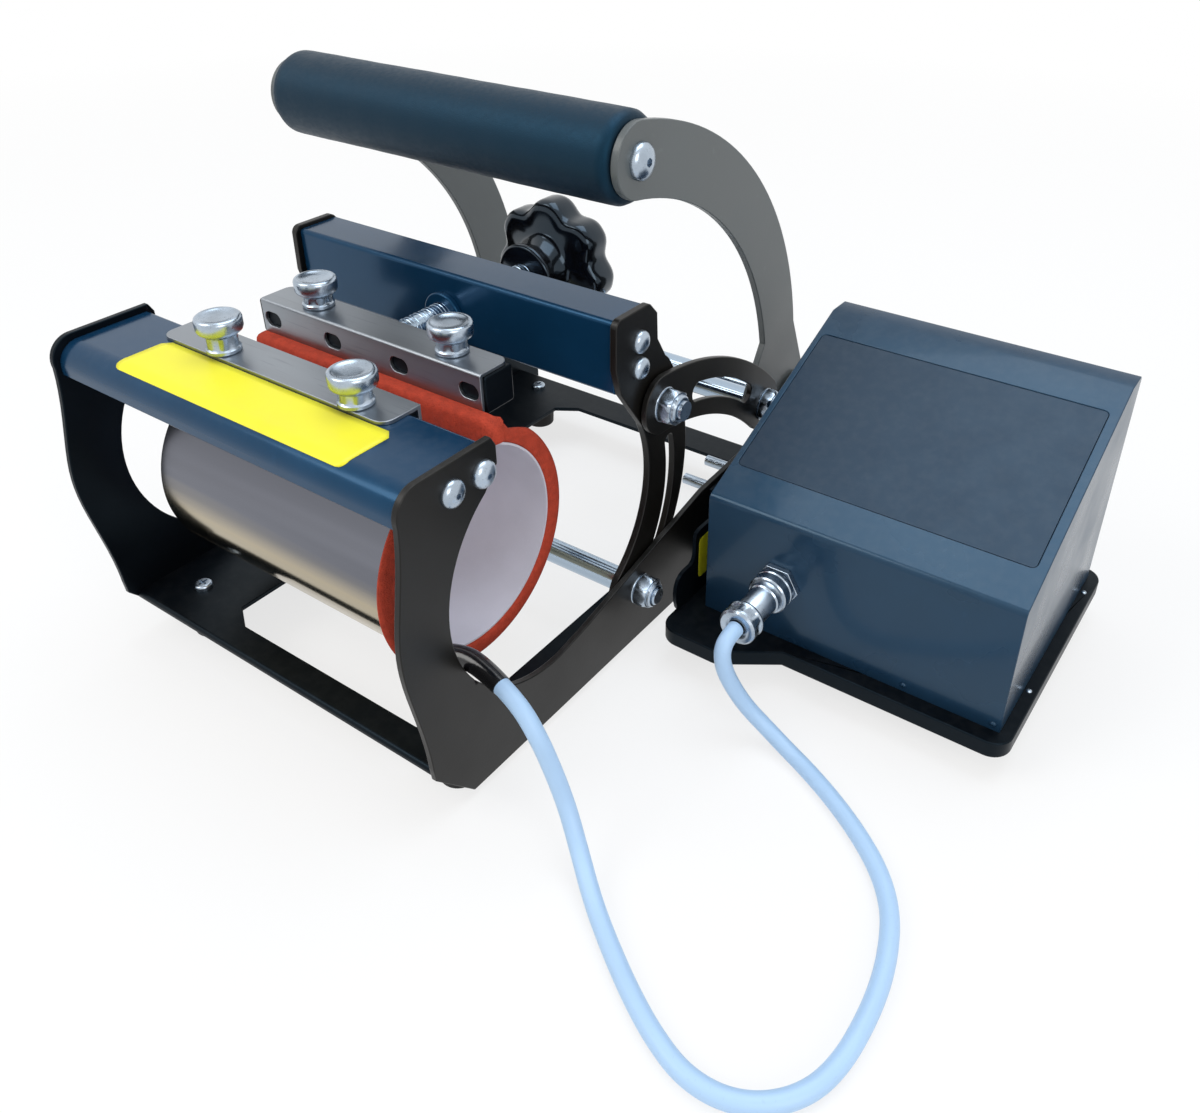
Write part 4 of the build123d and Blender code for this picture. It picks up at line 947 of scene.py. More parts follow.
@dataclass
class PressFrame:
    """Side plates, base pan, front bridge, pivots, feet and their screws."""

    shop: Workshop
    scatter: Scatter
    plate_outer: float = 90.5
    bridge_screws: tuple[Pair, ...] = ((-12.6, 131.0), (1.5, 130.7))
    lower_pivot: Pair = (87.0, 29.0)
    rear_pivot: Pair = (221.0, 57.0)
    film_left: float = -57.5
    film_right: float = 61.5
    film_rear: float = -6.3
    film_start: float = 56.0
    film_lift: float = 0.12
    film_corner: float = 3.0
    film_thick: float = 0.1
    rail_low: float = 19.6
    rail_cut: float = 1.5
    rail_edge: float = -27.0
    bridge_front: float = -33.0
    bridge_top: float = 139.0
    bend: float = 9.0

    def build(self) -> None:
        """Build and dress the frame."""
        self.shop.eased("side_plate_left", "deep black paint", 0.35)
        self.shop.eased("side_plate_right", "black satin paint", 0.35)
        self.shop.eased("base_pan", "deep black paint", 0.25, reshape=self.low_rail)
        self.shop.eased("front_bridge", "blue gloss paint", 0.4)
        self.shop.paint("rubber_feet", "black rubber")
        self.shop.paint("foot_screws", "bright zinc")
        self.shop.paint("rear_pivot_rod", "drawn rod steel")
        self.lower_rod()
        screw = dome_screw(head=4.9, tall=3.2, socket=1.8)
        lower_nut = lock_nut(across=12.6, thick=6.0, rod=8.0, washer=0.7, end=9.6)
        rear_nut = lock_nut(across=14.4, thick=5.5, rod=10.0, washer=0.8, end=9.6)
        fasteners = (
            ("bridge_dome_screws", screw, self.bridge_screws, "bridge_screws"),
            ("lower_pivot_lock_nuts", lower_nut, (self.lower_pivot,), "lower_pivot_nuts"),
            ("rear_pivot_lock_nuts", rear_nut, (self.rear_pivot,), "rear_pivot_nuts"),
        )
        for name, turning, spots, node in fasteners:
            group = self.scatter.pairs(name, turning, self.plate_outer, spots, "bright zinc")
            self.shop.settle(group, Body.FRAME.value, node)
        self.film()

    def low_rail(self, spot: Spot) -> Spot:
        """Place of a pan point, with the front rail narrower and its lip cut short as in the photograph."""
        x, depth, height = spot
        if depth > 0:
            return spot
        cut = self.rail_cut if depth < self.rail_edge else 0.0
        return (x, depth + cut, max(height, self.rail_low))

    def lower_rod(self) -> None:
        """Lower pivot rod: slim between its shoulders, with thinner ends for the nuts."""
        slim = 5.2
        shoulder = 6.0
        thread = 4.0
        start = 81.3
        stop = 90.3
        end = 100.0
        half = [
            Ring(slim, start), Ring(shoulder, start + 0.2), Ring(shoulder, stop), Ring(thread, stop + 0.1),
            Ring(thread, end - 0.5), Ring(thread - 0.5, end),
        ]
        other = [Ring(ring.radius, -ring.along) for ring in reversed(half)]
        rings = [Ring(0, -end), *other, *half, Ring(0, end)]
        shape = Turning(rings, 40).shape(TO_RIGHT, at(0, *self.lower_pivot))
        rod = self.shop.made("lower_pivot_turned", shape, "drawn rod steel")
        self.shop.settle(rod, Body.FRAME.value, "lower_pivot_rod")

    def film(self) -> None:
        """Plain film on the bridge, laid over its front bend, with rounded corners and nothing on it."""
        radius = self.bend + self.film_lift
        centre_depth = self.bridge_front + self.bend
        centre_height = self.bridge_top - self.bend
        path = []
        steps = 14
        for k in range(steps + 1):
            angle = math.radians(self.film_start + (90.0 - self.film_start) * k / steps)
            path.append((centre_depth - radius * math.cos(angle), centre_height + radius * math.sin(angle)))
        flat_steps = 6
        for k in range(1, flat_steps + 1):
            depth = centre_depth + (self.film_rear - centre_depth) * k / flat_steps
            path.append((depth, self.bridge_top + self.film_lift))
        runs = [0.0]
        for (d0, h0), (d1, h1) in zip(path, path[1:]):
            runs.append(runs[-1] + math.hypot(d1 - d0, h1 - h0))
        corner = self.film_corner
        columns = 40
        shape = bmesh.new()
        rows = []
        for (depth, height), run in zip(path, runs):
            near = min(run, runs[-1] - run)
            inset = corner - math.sqrt(max(0.0, corner**2 - (corner - near) ** 2)) if near < corner else 0.0
            left, right = self.film_left + inset, self.film_right - inset
            across = [left + (right - left) * c / columns for c in range(columns + 1)]
            rows.append([shape.verts.new(at(x, depth, height)) for x in across])
        for low, high in zip(rows, rows[1:]):
            for c in range(columns):
                shape.faces.new((low[c], low[c + 1], high[c + 1], high[c]))
        film = self.shop.made("bridge_film", shape, "plain yellow film")
        wall = film.modifiers.new("film wall", "SOLIDIFY")
        wall.thickness = self.film_thick * MM
        wall.offset = -1.0
        self.shop.settle(film, Body.FRAME.value)


@dataclass
class ClampFrame:
    """Slotted arms, rear beam, adjusting screw with its knob, pressure bar and the bush."""

    shop: Workshop
    scatter: Scatter
    thread: Thread
    screw_height: float = 133.0
    screw_start: float = 55.2
    screw_length: float = 91.0
    screw_diameter: float = 11.0
    screw_pitch: float = 1.6
    arm_outer: float = 87.0
    beam_screw_depth: float = 92.5
    beam_screw_rises: Pair = (6.5, -4.5)
    knob_start: float = 128.0
    knob_radius: float = 28.8
    knob_hub: float = 15.0
    knob_thick: float = 16.0
    knob_sides: int = 168
    lobes: int = 7
    valley_depth: float = 4.1
    slot_middles: tuple[float, ...] = (-56.0, -21.0, 15.0, 50.0)
    slot_height: float = 130.98
    slot_reach: Pair = (4.2, 2.8)
    slot_growth: Pair = (1.25, 1.36)
    angle_wall: float = 41.0

    def build(self) -> None:
        """Build and dress the clamp and what it carries."""
        for side in ("left", "right"):
            self.shop.eased(f"clamp_arm_{side}", "black satin paint", 0.35)
        self.shop.eased("rear_beam", "blue gloss paint", 0.4)
        # The bar's deep black is partly its black paint and partly painted shade, darker to stand in for the
        # shade inside its open end.
        self.shop.eased("pressure_bar", "deep black paint", 0.4)
        self.shop.eased("heater_rear_angle", "brushed tab steel", 0.2, reshape=self.wide_slots)
        self.shop.eased("beam_bush", "blue gloss paint", 0.25)
        spots = [(self.beam_screw_depth, self.screw_height + rise) for rise in self.beam_screw_rises]
        screw = dome_screw(head=4.5, tall=3.0, socket=1.9)
        screws = self.scatter.pairs("beam_dome_screws", screw, self.arm_outer, spots, "bright zinc")
        self.shop.settle(screws, Body.CLAMP.value, "beam_screws")
        rod = self.thread.cut(
            "adjusting_thread",
            at(0, self.screw_start, self.screw_height),
            TO_BACK,
            self.screw_diameter,
            self.screw_length,
            self.screw_pitch,
            "drawn rod steel",
        )
        self.shop.settle(rod, Body.KNOB.value, "adjusting_screw")
        self.knob()

    def wide_slots(self, spot: Spot) -> Spot:
        """Place of an angle point, with the slots as wide as in the photograph."""
        x, depth, height = spot
        middle = min(self.slot_middles, key=lambda slot: abs(slot - x))
        aside = x - middle
        rise = height - self.slot_height
        if abs(aside) > self.slot_reach[0] or abs(rise) > self.slot_reach[1] or depth > self.angle_wall:
            return spot
        return (middle + aside * self.slot_growth[0], depth, self.slot_height + rise * self.slot_growth[1])

    def outline(self, angle: float) -> float:
        """Radius of the knob's star at an angle: full lobes with narrower valleys."""
        valley = (1.0 - math.cos(self.lobes * angle)) / 2
        return self.knob_radius - self.valley_depth * valley**1.5

    def knob_row(
        self, shape: bmesh.types.BMesh, size: float, along: float, lobed: bool
    ) -> list[bmesh.types.BMVert]:
        """Corners of one ring round the knob's axis.

        Args:
            shape: the working shape that takes the corners.
            size: the ring's radius or, where it is lobed, its distance inside the star.
            along: its place along the axis.
            lobed: whether it follows the star.

        Returns:
            The corners in order.
        """
        row = []
        for k in range(self.knob_sides):
            angle = FULL_TURN * k / self.knob_sides
            reach = self.outline(angle) - size if lobed else size
            rise = reach * math.cos(angle)
            spot = at(reach * math.sin(angle), self.knob_start + along, self.screw_height + rise)
            row.append(shape.verts.new(spot))
        return row

    def knob(self) -> None:
        """Lobed knob with its stepped hub and dished back."""
        hub = self.knob_hub
        back = hub + self.knob_thick
        neck = [
            (5.6, 0.0), (12.6, 0.0), (13.6, 0.5), (13.9, 1.6), (13.6, 3.2), (12.4, 4.0), (11.4, 5.2),
            (11.9, 8.0), (13.2, 12.2), (15.5, 14.6),
        ]
        star = [
            (4.4, hub + 0.1), (2.6, hub + 0.4), (1.2, hub + 1.2), (0.3, hub + 2.6), (0.0, hub + 4.4),
            (0.0, back - 4.8), (0.4, back - 2.8), (1.4, back - 1.2), (3.0, back - 0.3), (5.2, back),
        ]
        dish = [
            (13.4, back - 0.1), (12.6, back - 1.2), (7.4, back - 1.4), (7.0, back - 0.6), (5.6, back - 0.6),
            (5.4, back - 3.0), (0.0, back - 3.0),
        ]
        shape = bmesh.new()
        rows = []
        for rings, lobed in ((neck, False), (star, True), (dish, False)):
            rows += [self.knob_row(shape, size, along, lobed) for size, along in rings]
        stitch(shape, [*rows, rows[0]])
        knob = self.shop.made("lobed_knob", shape, "knob gloss plastic", ROUND_ANGLE)
        self.shop.settle(knob, Body.KNOB.value, "star_knob")


@dataclass(frozen=True)
class ThumbPlace:
    """Where a thumb screw's seat is, how far its shank reaches down and how tall it stands."""

    x: float
    depth: float
    seat: float
    shank: float
    tall: float


@dataclass
class ThumbScrews:
    """Four thumb screws: two on the bridge and two on the pressure bar."""

    shop: Workshop
    shank_radius: float = 2.95
    collar: float = 6.3
    neck: float = 6.0
    flats: float = 10.9
    head: float = 8.45
    crease: float = 42.0
    places: dict[str, ThumbPlace] = field(
        default_factory=lambda: {
            "front_left": ThumbPlace(-31.0, -1.0, 140.53, 9.5, 13.8),
            "front_right": ThumbPlace(38.0, -1.0, 140.53, 9.5, 12.6),
            "rear_left": ThumbPlace(-37.0, 47.75, 139.03, 15.0, 12.0),
            "rear_right": ThumbPlace(35.0, 47.75, 139.03, 15.0, 12.2),
        }
    )

    def profile(self, shank: float, tall: float) -> list[Ring]:
        """Rings of one screw: shank, collar, neck with flats, and head with a shallow hollow on top."""
        return [
            Ring(0, -shank), Ring(self.shank_radius - 0.45, -shank), Ring(self.shank_radius, 0.6 - shank),
            Ring(self.shank_radius, 0),
            Ring(self.collar - 0.4, 0), Ring(self.collar, 0.4), Ring(self.collar, 1.5),
            Ring(self.collar - 0.6, 2.1),
            Ring(self.neck, 2.5, self.flats), Ring(self.neck, tall - 7.4, self.flats),
            Ring(self.collar, tall - 6.8),
            Ring(self.head - 1.25, tall - 6.2), Ring(self.head - 0.45, tall - 5.5),
            Ring(self.head - 0.05, tall - 4.5), Ring(self.head, tall - 1.4),
            Ring(self.head - 0.25, tall - 0.6), Ring(self.head - 0.85, tall - 0.1),
            Ring(self.head - 1.45, tall),
            Ring(self.collar, tall - 0.2), Ring(self.collar - 0.7, tall - 0.7), Ring(3.0, tall - 0.9),
            Ring(0, tall - 0.9),
        ]

    def build(self) -> None:
        """Turn the four screws."""
        for name, spot in self.places.items():
            turning = Turning(self.profile(spot.shank, spot.tall), 60)
            shape = turning.shape(UPWARDS, at(spot.x, spot.depth, spot.seat))
            mesh = self.shop.mesh_from(f"thumb_{name}", shape, self.crease)
            screw = self.shop.place(f"thumb_{name}_turned", mesh, "bright zinc")
            self.shop.settle(screw, f"thumb_{name}", f"thumb_screw_{name}")


@dataclass
class Heater:
    """Wrap round the mug: steel band, red foam with a swollen right end, and the grey lining.

    Each layer is two pieces, a front and a rear one, that meet under the mug's rear.
    """

    shop: Workshop
    gap_front: float = 14.0
    gap_rear: float = 35.5
    radius: float = 39.5
    left: float = -62.0
    band_right: float = 60.8
    right: float = 64.6
    lip: float = 8.2
    skin: float = 3.4
    lining_layer: Pair = (0.0, 0.8)
    foam_layer: Pair = (0.85, 2.65)
    band_layer: Pair = (2.7, 3.42)
    lining_tops: Pair = (121.0, 117.8)
    foam_tops: Pair = (131.0, 121.5)
    band_tops: Pair = (133.0, 124.3)
    flange_bend: float = 0.055
    edge_rise: float = 3.0
    front_taper: tuple[float, float, float] = (0.25, 0.045, 0.07)
    rear_taper: tuple[float, float, float] = (0.4, 0.03, 0.045)
    front_bend: tuple[Pair, Pair] = ((14.9, 85.1), (49.6, 50.4))
    rear_bend: tuple[Pair, Pair] = ((SEAT_DEPTH, 56.0), (SEAT_DEPTH, 112.0))
    arc_steps: int = 120
    flange_steps: int = 5
    meeting_row: int = 83
    columns: int = 24

    def route(self, away: float, front_top: float, rear_top: float) -> list[Pair]:
        """Line round the mug at a distance from its seat, from the front end under the mug to the rear end.

        Args:
            away: distance outside the seat, in millimetres.
            front_top: height of the front end.
            rear_top: height of the rear end.

        Returns:
            Depth and height pairs.
        """
        reach = self.radius + away
        front = self.gap_front - away
        rear = self.gap_rear + away
        start = math.asin((front - SEAT_DEPTH) / reach)
        stop = math.asin((rear - SEAT_DEPTH) / reach)
        first = start - self.flange_bend
        last = stop + self.flange_bend - FULL_TURN
        last_step = self.flange_steps - 1
        edge = SEAT_HEIGHT + reach * math.cos(start) + self.edge_rise
        line = [(front, front_top + (edge - front_top) * k / last_step) for k in range(self.flange_steps)]
        for k in range(self.arc_steps + 1):
            angle = first + (last - first) * k / self.arc_steps
            line.append((SEAT_DEPTH + reach * math.sin(angle), SEAT_HEIGHT + reach * math.cos(angle)))
        edge = SEAT_HEIGHT + reach * math.cos(stop) + self.edge_rise
        line += [(rear, edge + (rear_top - edge) * k / last_step) for k in range(self.flange_steps)]
        return line

    def swept(
        self, name: str, section: Sequence[Pair], tops: Pair, finish: str, node: str
    ) -> list[bpy.types.Object]:
        """Sweep a closed section round the mug, as two pieces.

        Args:
            name: the layer's name.
            section: places of the section as x and distance outside the seat.
            tops: heights of the front and the rear end.
            finish: the name of the finish.
            node: the CAD node that the layer stands for.

        Returns:
            The front and the rear piece.
        """
        count = len(self.route(0.0, *tops))
        cache: dict[float, list[Pair]] = {}
        places = []
        for k in range(count):
            kept = self.lip_taper(k / (count - 1))
            row = []
            for x, away in section:
                distance = round(self.skin + (away - self.skin) * kept if away > self.skin else away, 4)
                if distance not in cache:
                    cache[distance] = self.route(distance, *tops)
                row.append(at(x, *cache[distance][k]))
            places.append(row)
        ends = (
            ("front", places[: self.meeting_row + 1], (Body.FRAME, Body.CLAMP), self.front_bend),
            ("rear", places[self.meeting_row :], (Body.CLAMP, Body.BAR), self.rear_bend),
        )
        pieces = []
        for end, rows, (first, second), (start, stop) in ends:
            piece = self.shop.made(f"{name}_{end}", self.tube(rows), finish, ROUND_ANGLE)
            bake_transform(piece)
            LOG.info("%s bends from %s to %s", piece.name, first.value, second.value)
            pieces.append(piece)
        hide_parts(node)
        return pieces

    def tube(self, places: Sequence[Sequence[Vector]]) -> bmesh.types.BMesh:
        """Closed skin over rows of points, with flat ends."""
        shape = bmesh.new()
        rows = [[shape.verts.new(place) for place in row] for row in places]
        stitch(shape, rows)
        shape.faces.new(rows[0])
        shape.faces.new(rows[-1])
        return shape

    def lip_taper(self, share: float) -> float:
        """Share of the foam's swelling kept along the wrap, smaller at both flanges."""
        at_front = share < 0.5
        least, start, span = self.front_taper if at_front else self.rear_taper
        inward = share if at_front else 1.0 - share
        return least + (1.0 - least) * min(1.0, max(0.0, (inward - start) / span))

    def stations(self, left: float, right: float) -> list[float]:
        """Evenly spaced places across the wrap."""
        return [left + (right - left) * c / self.columns for c in range(self.columns + 1)]

    def flat(self, across: Sequence[float], layer: Pair) -> list[Pair]:
        """Section of a flat layer between two distances outside the seat."""
        low, high = layer
        return [(x, low) for x in across] + [(x, high) for x in reversed(across)]

    def build(self) -> None:
        """Build the three layers, the front tab and the rear foam strip."""
        across = self.stations(self.left, self.band_right)
        band = self.flat(across, self.band_layer)
        self.swept("band_wrap", band, self.band_tops, "polished band steel", "heater_band")
        end = self.right
        lip = self.lip
        low, high = self.foam_layer
        swell = [
            (end - 1.0, low), (end - 0.2, 1.5), (end + 0.3, 2.8), (end + 0.45, 4.6), (end + 0.3, lip - 1.6),
            (end - 0.3, lip - 0.5), (end - 1.2, lip), (end - 2.1, lip - 0.4), (end - 2.7, lip - 1.6),
            (self.band_right + 0.7, 4.6), (self.band_right, 2.72),
        ]
        foam = [(x, low) for x in across] + swell + [(x, high) for x in reversed(across[:-1])]
        for piece in self.swept("foam_wrap", foam, self.foam_tops, "brick foam", "heater_foam"):
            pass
        cloth = self.flat(self.stations(self.left + 0.3, self.right - 0.6), self.lining_layer)
        self.swept("lining_wrap", cloth, self.lining_tops, "grey lining cloth", "heater_lining")
        self.shop.eased("heater_front_tab", "brushed tab steel", 0.2)
        self.rear_strip()

    def rear_strip(self) -> None:
        """Rough foam end that shows under the rear angle and swells at the right; it moves with the bar."""
        columns = 96
        end = self.right + 0.4
        front_face = 33.2
        rear_face = 38.9
        bottom = 113.8
        top = 124.8
        rows = []
        for c in range(columns + 1):
            x = self.left + (end - self.left) * c / columns
            rough = 0.16 * math.sin(c * 1.9) + 0.12 * math.sin(c * 0.77 + 1.0)
            swell = min(1.0, max(0.0, (x - self.band_right - 0.1) / 0.8))
            fall = min(1.0, max(0.0, (x - 58.6) / 6.0)) ** 2
            tuck = 1.6 * max(0.0, (x - end + 1.6) / 1.6) ** 2
            rear = rear_face + 2.2 * swell - tuck * swell
            front = front_face + rough + tuck + 1.1 * fall
            low = bottom + 1.4 * fall
            high = top - 3.4 * fall
            loop = [
                (front + 1.6, low), (rear, low), (rear, high), (front + 3.6, high), (front + 1.6, high - 0.3),
                (front + 0.5, high - 1.2), (front + 0.1, high - 3.0), (front + 0.1, low + 2.4),
                (front + 0.5, low + 0.9),
            ]
            rows.append([at(x, depth, height) for depth, height in loop])
        strip = self.shop.made("foam_rear_strip", self.tube(rows), "brick foam", ROUND_ANGLE)
        self.shop.settle(strip, Body.BAR.value)


@dataclass
class Handle:
    """Handle arms, cross rod, grip and toggle links."""

    shop: Workshop
    scatter: Scatter
    grip: Pair = (93.0, 206.5)
    reach: float = 83.6
    grip_radius: float = 16.5
    grip_face: float = 14.3
    grip_bore: float = 12.1
    cross_rod: Pair = (187.0, 71.5)
    link_pin: Pair = (104.0, 109.0)
    nut_seat: float = 90.5
    arm_outer: float = 87.0

    def build(self) -> None:
        """Build and dress the handle and the links."""
        link_nut = lock_nut(across=13.4, thick=5.8, rod=8.0, washer=0.8, end=9.8)
        sides = (("left", -1, math.pi, Body.LINK_LEFT), ("right", 1, 0.0, Body.LINK_RIGHT))
        for side, way, turn, link in sides:
            self.shop.eased(f"handle_arm_{side}", "handle satin paint", 0.35)
            self.shop.eased(f"toggle_link_{side}", "black satin paint", 0.35)
            self.shop.paint(f"link_bolt_{side}", "bright zinc")
            spot = (at(way * self.nut_seat, *self.link_pin), (0.5, 0.0, turn))
            nut = self.scatter.spread(f"link_lock_nut_{side}", link_nut, [spot], "bright zinc")
            self.shop.settle(nut, link.value, f"link_nut_{side}")
        self.shop.paint("handle_cross_rod", "drawn rod steel")
        self.shop.paint("grip_core", "bright zinc")
        rod_nut = lock_nut(across=14.2, thick=5.0, rod=10.0, washer=0.8, end=8.6)
        spots = (self.cross_rod,)
        nuts = self.scatter.pairs("cross_rod_lock_nuts", rod_nut, self.nut_seat, spots, "bright zinc")
        self.shop.settle(nuts, Body.HANDLE.value, "cross_rod_nuts")
        bolt = dome_screw(head=6.6, tall=3.7, socket=2.9)
        bolts = self.scatter.pairs("grip_dome_bolts", bolt, self.arm_outer, (self.grip,), "bright zinc")
        self.shop.settle(bolts, Body.HANDLE.value, "grip_bolts")
        self.sleeve()

    def sleeve(self) -> None:
        """Foam sleeve of the grip, slightly uneven, with rolled ends."""
        columns = 90
        chamfer = 0.8
        roll_depth = 1.8
        roll_length = 3.4
        rings = [Ring(self.grip_bore, 0.0), Ring(self.grip_face, 0.0)]
        length = 2 * self.reach
        for c in range(columns + 1):
            along = chamfer + (length - 2 * chamfer) * c / columns
            edge = min(along, length - along)
            roll = roll_depth * max(0.0, 1.0 - edge / roll_length) ** 2
            uneven = 0.04 * math.sin(along * 0.11) + 0.03 * math.sin(along * 0.37 + 1.0)
            rings.append(Ring(self.grip_radius - roll + uneven, along))
        rings += [Ring(self.grip_face, length), Ring(self.grip_bore, length), Ring(self.grip_bore, 0.0)]
        shape = Turning(rings, 64).shape(TO_RIGHT, at(-self.reach, *self.grip))
        grip = self.shop.made("grip_sleeve", shape, "grip foam", ROUND_ANGLE)
        self.shop.settle(grip, Body.HANDLE.value, "handle_grip")


@dataclass
class ControlBox:
    """Sloped box with its panel, tray, boards, socket and rear fittings."""

    shop: Workshop
    scatter: Scatter
    middle: float = 176.5
    front: float = 103.0
    fold_height: float = 75.5
    slope_rise: float = 43.0
    slope_run: float = 100.0
    cad_half: float = 56.0
    cad_start: float = 18.0
    cad_end: float = 100.05
    upstand_x: float = 104.0
    upstand_thick: float = 1.6
    label_thick: float = 0.1
    tray_screw_x: float = 241.8
    tray_screw_height: float = 19.5
    front_screw_height: float = 22.5
    corner_foot: Pair = (228.0, 112.0)
    foot_reach: float = 20.0
    foot_back: float = 12.0
    panel_left: float = -60.5
    panel_right: float = 59.0
    panel_start: float = 18.5
    panel_end: float = 94.0

    def sharpen(self, border: float, old: float, new: float, grow: float = 0.0) -> Callable[[Spot], Spot]:
        """Rule that carries the panel window's rounded corners to the photograph's window.

        Args:
            border: how far the outline lies outside the panel.
            old: corner radius of the CAD outline.
            new: corner radius of the new outline.
            grow: how much wider the new outline is made on every side.

        Returns:
            A rule from a bench place to its new bench place.
        """
        slope = math.atan2(self.slope_rise, self.slope_run)
        along = (math.cos(slope), math.sin(slope))
        deepest = -1.3
        highest = 0.1
        off_arc = 0.25
        off_quarter = -0.5

        def moved(spot: Spot) -> Spot:
            """New place of one point."""
            x, depth, height = spot
            run, rise = depth - self.front, height - self.fold_height
            u, v = x - self.middle, run * along[0] + rise * along[1]
            out = rise * along[0] - run * along[1]
            half, low, high = self.cad_half + border, self.cad_start - border, self.cad_end + border
            centre = (low + high) / 2
            near_u = math.copysign(half - old, u)
            near_v = high - old if v > centre else low + old
            du, dv = u - near_u, v - near_v
            reach = math.hypot(du, dv)
            if not deepest < out < highest or abs(reach - old) > off_arc:
                return spot
            if du * near_u < off_quarter or dv * (near_v - centre) < off_quarter:
                return spot
            left, right = self.panel_left - border - grow, self.panel_right + border + grow
            start, end = self.panel_start - border - grow, self.panel_end + border + grow
            new_u = right - new if u > 0 else left + new
            new_v = end - new if v > centre else start + new
            u, v = new_u + du / reach * new, new_v + dv / reach * new
            run, rise = v * along[0] - out * along[1], v * along[1] + out * along[0]
            return (self.middle + u, self.front + run, self.fold_height + rise)

        return moved

    def sheet(self, name: str, x: float, thick: float, outline: Sequence[Pair], finish: str) -> None:
        """Flat sheet that faces +X and rides on the frame.

        Args:
            name: the piece's name.
            x: where its left face stands.
            thick: its thickness.
            outline: depth and height pairs in order.
            finish: the name of its finish.
        """
        shape = bmesh.new()
        sides = []
        for out in (0.0, thick):
            sides.append([shape.verts.new(at(x + out, depth, height)) for depth, height in outline])
        stitch(shape, sides)
        for side in sides:
            shape.faces.new(side)
        self.shop.settle(self.shop.made(name, shape, finish), Body.FRAME.value)

    def set_back(self, spot: Spot) -> Spot:
        """Place of a foot point, with the front foot as far under the tray as in the photograph."""
        x, depth, height = spot
        near = math.hypot(x - self.corner_foot[0], depth - self.corner_foot[1]) < self.foot_reach
        return (x, depth + self.foot_back if near else depth, height)

    def upstand(self) -> None:
        """Turned-up left edge of the tray, with the small plain label that it carries."""
        turned = [
            (94.6, 19.0), (93.0, 21.5), (92.0, 25.0), (91.7, 29.0), (92.2, 32.5), (93.6, 35.2),
            (95.8, 36.8), (98.5, 37.4), (103.0, 37.4), (105.0, 38.4), (106.0, 40.4), (106.2, 43.0),
            (106.2, 49.0), (107.2, 51.2), (109.4, 52.0), (150.0, 52.0), (150.0, 19.0),
        ]
        self.sheet("tray_upstand", self.upstand_x, self.upstand_thick, turned, "deep black paint")
        label = [
            (108.8, 29.0), (109.4, 27.4), (110.8, 27.0), (122.0, 27.0), (122.0, 47.4), (110.8, 47.4),
            (109.4, 46.9), (108.8, 45.4),
        ]
        face = self.upstand_x + self.upstand_thick + 0.02
        self.sheet("tray_label", face, self.label_thick, label, "plain yellow film")

    def build(self) -> None:
        """Build and dress the box."""
        self.shop.eased("box_cover", "box gloss paint", 0.3, 2, self.sharpen(0.5, 6.5, 2.3))
        self.shop.eased("box_tray", "deep black paint", 0.5, 2, join_flats=False)
        self.shop.eased("display_panel", "panel film", 0.12, 2, self.sharpen(0.0, 6.0, 1.9, 0.35))
        self.upstand()
        self.shop.eased("tray_feet", "black rubber", 0.3, 2, self.set_back)
        dressed = {
            "box_bolts": "bright zinc",
            "display_board": "green board",
            "power_board": "green board",
            "relay": "blue relay",
            "power_inlet": "panel film",
            "switch_frame": "panel film",
            "rocker_button": "knob gloss plastic",
            "fuse_cap": "knob gloss plastic",
        }
        for node, finish in dressed.items():
            self.shop.paint(node, finish)
        self.shop.eased("cable_socket", "bright zinc", 0.25)
        tiny = dome_screw(head=1.15, tall=0.7, socket=0.5)
        to_left = (0.0, -math.pi / 2, 0.0)
        to_front = (0.0, 0.0, -math.pi / 2)
        tray = [(at(self.tray_screw_x, depth, self.tray_screw_height), to_left) for depth in (203.3, 130.6)]
        front = [(at(x, self.front, self.front_screw_height), to_front) for x in (202.0, 237.0)]
        groups = (
            ("tray_small_screws", tray, "bright zinc"),
            ("front_small_screws", front, "box gloss paint"),
        )
        for name, spots, finish in groups:
            self.shop.settle(self.scatter.spread(name, tiny, spots, finish), Body.FRAME.value)


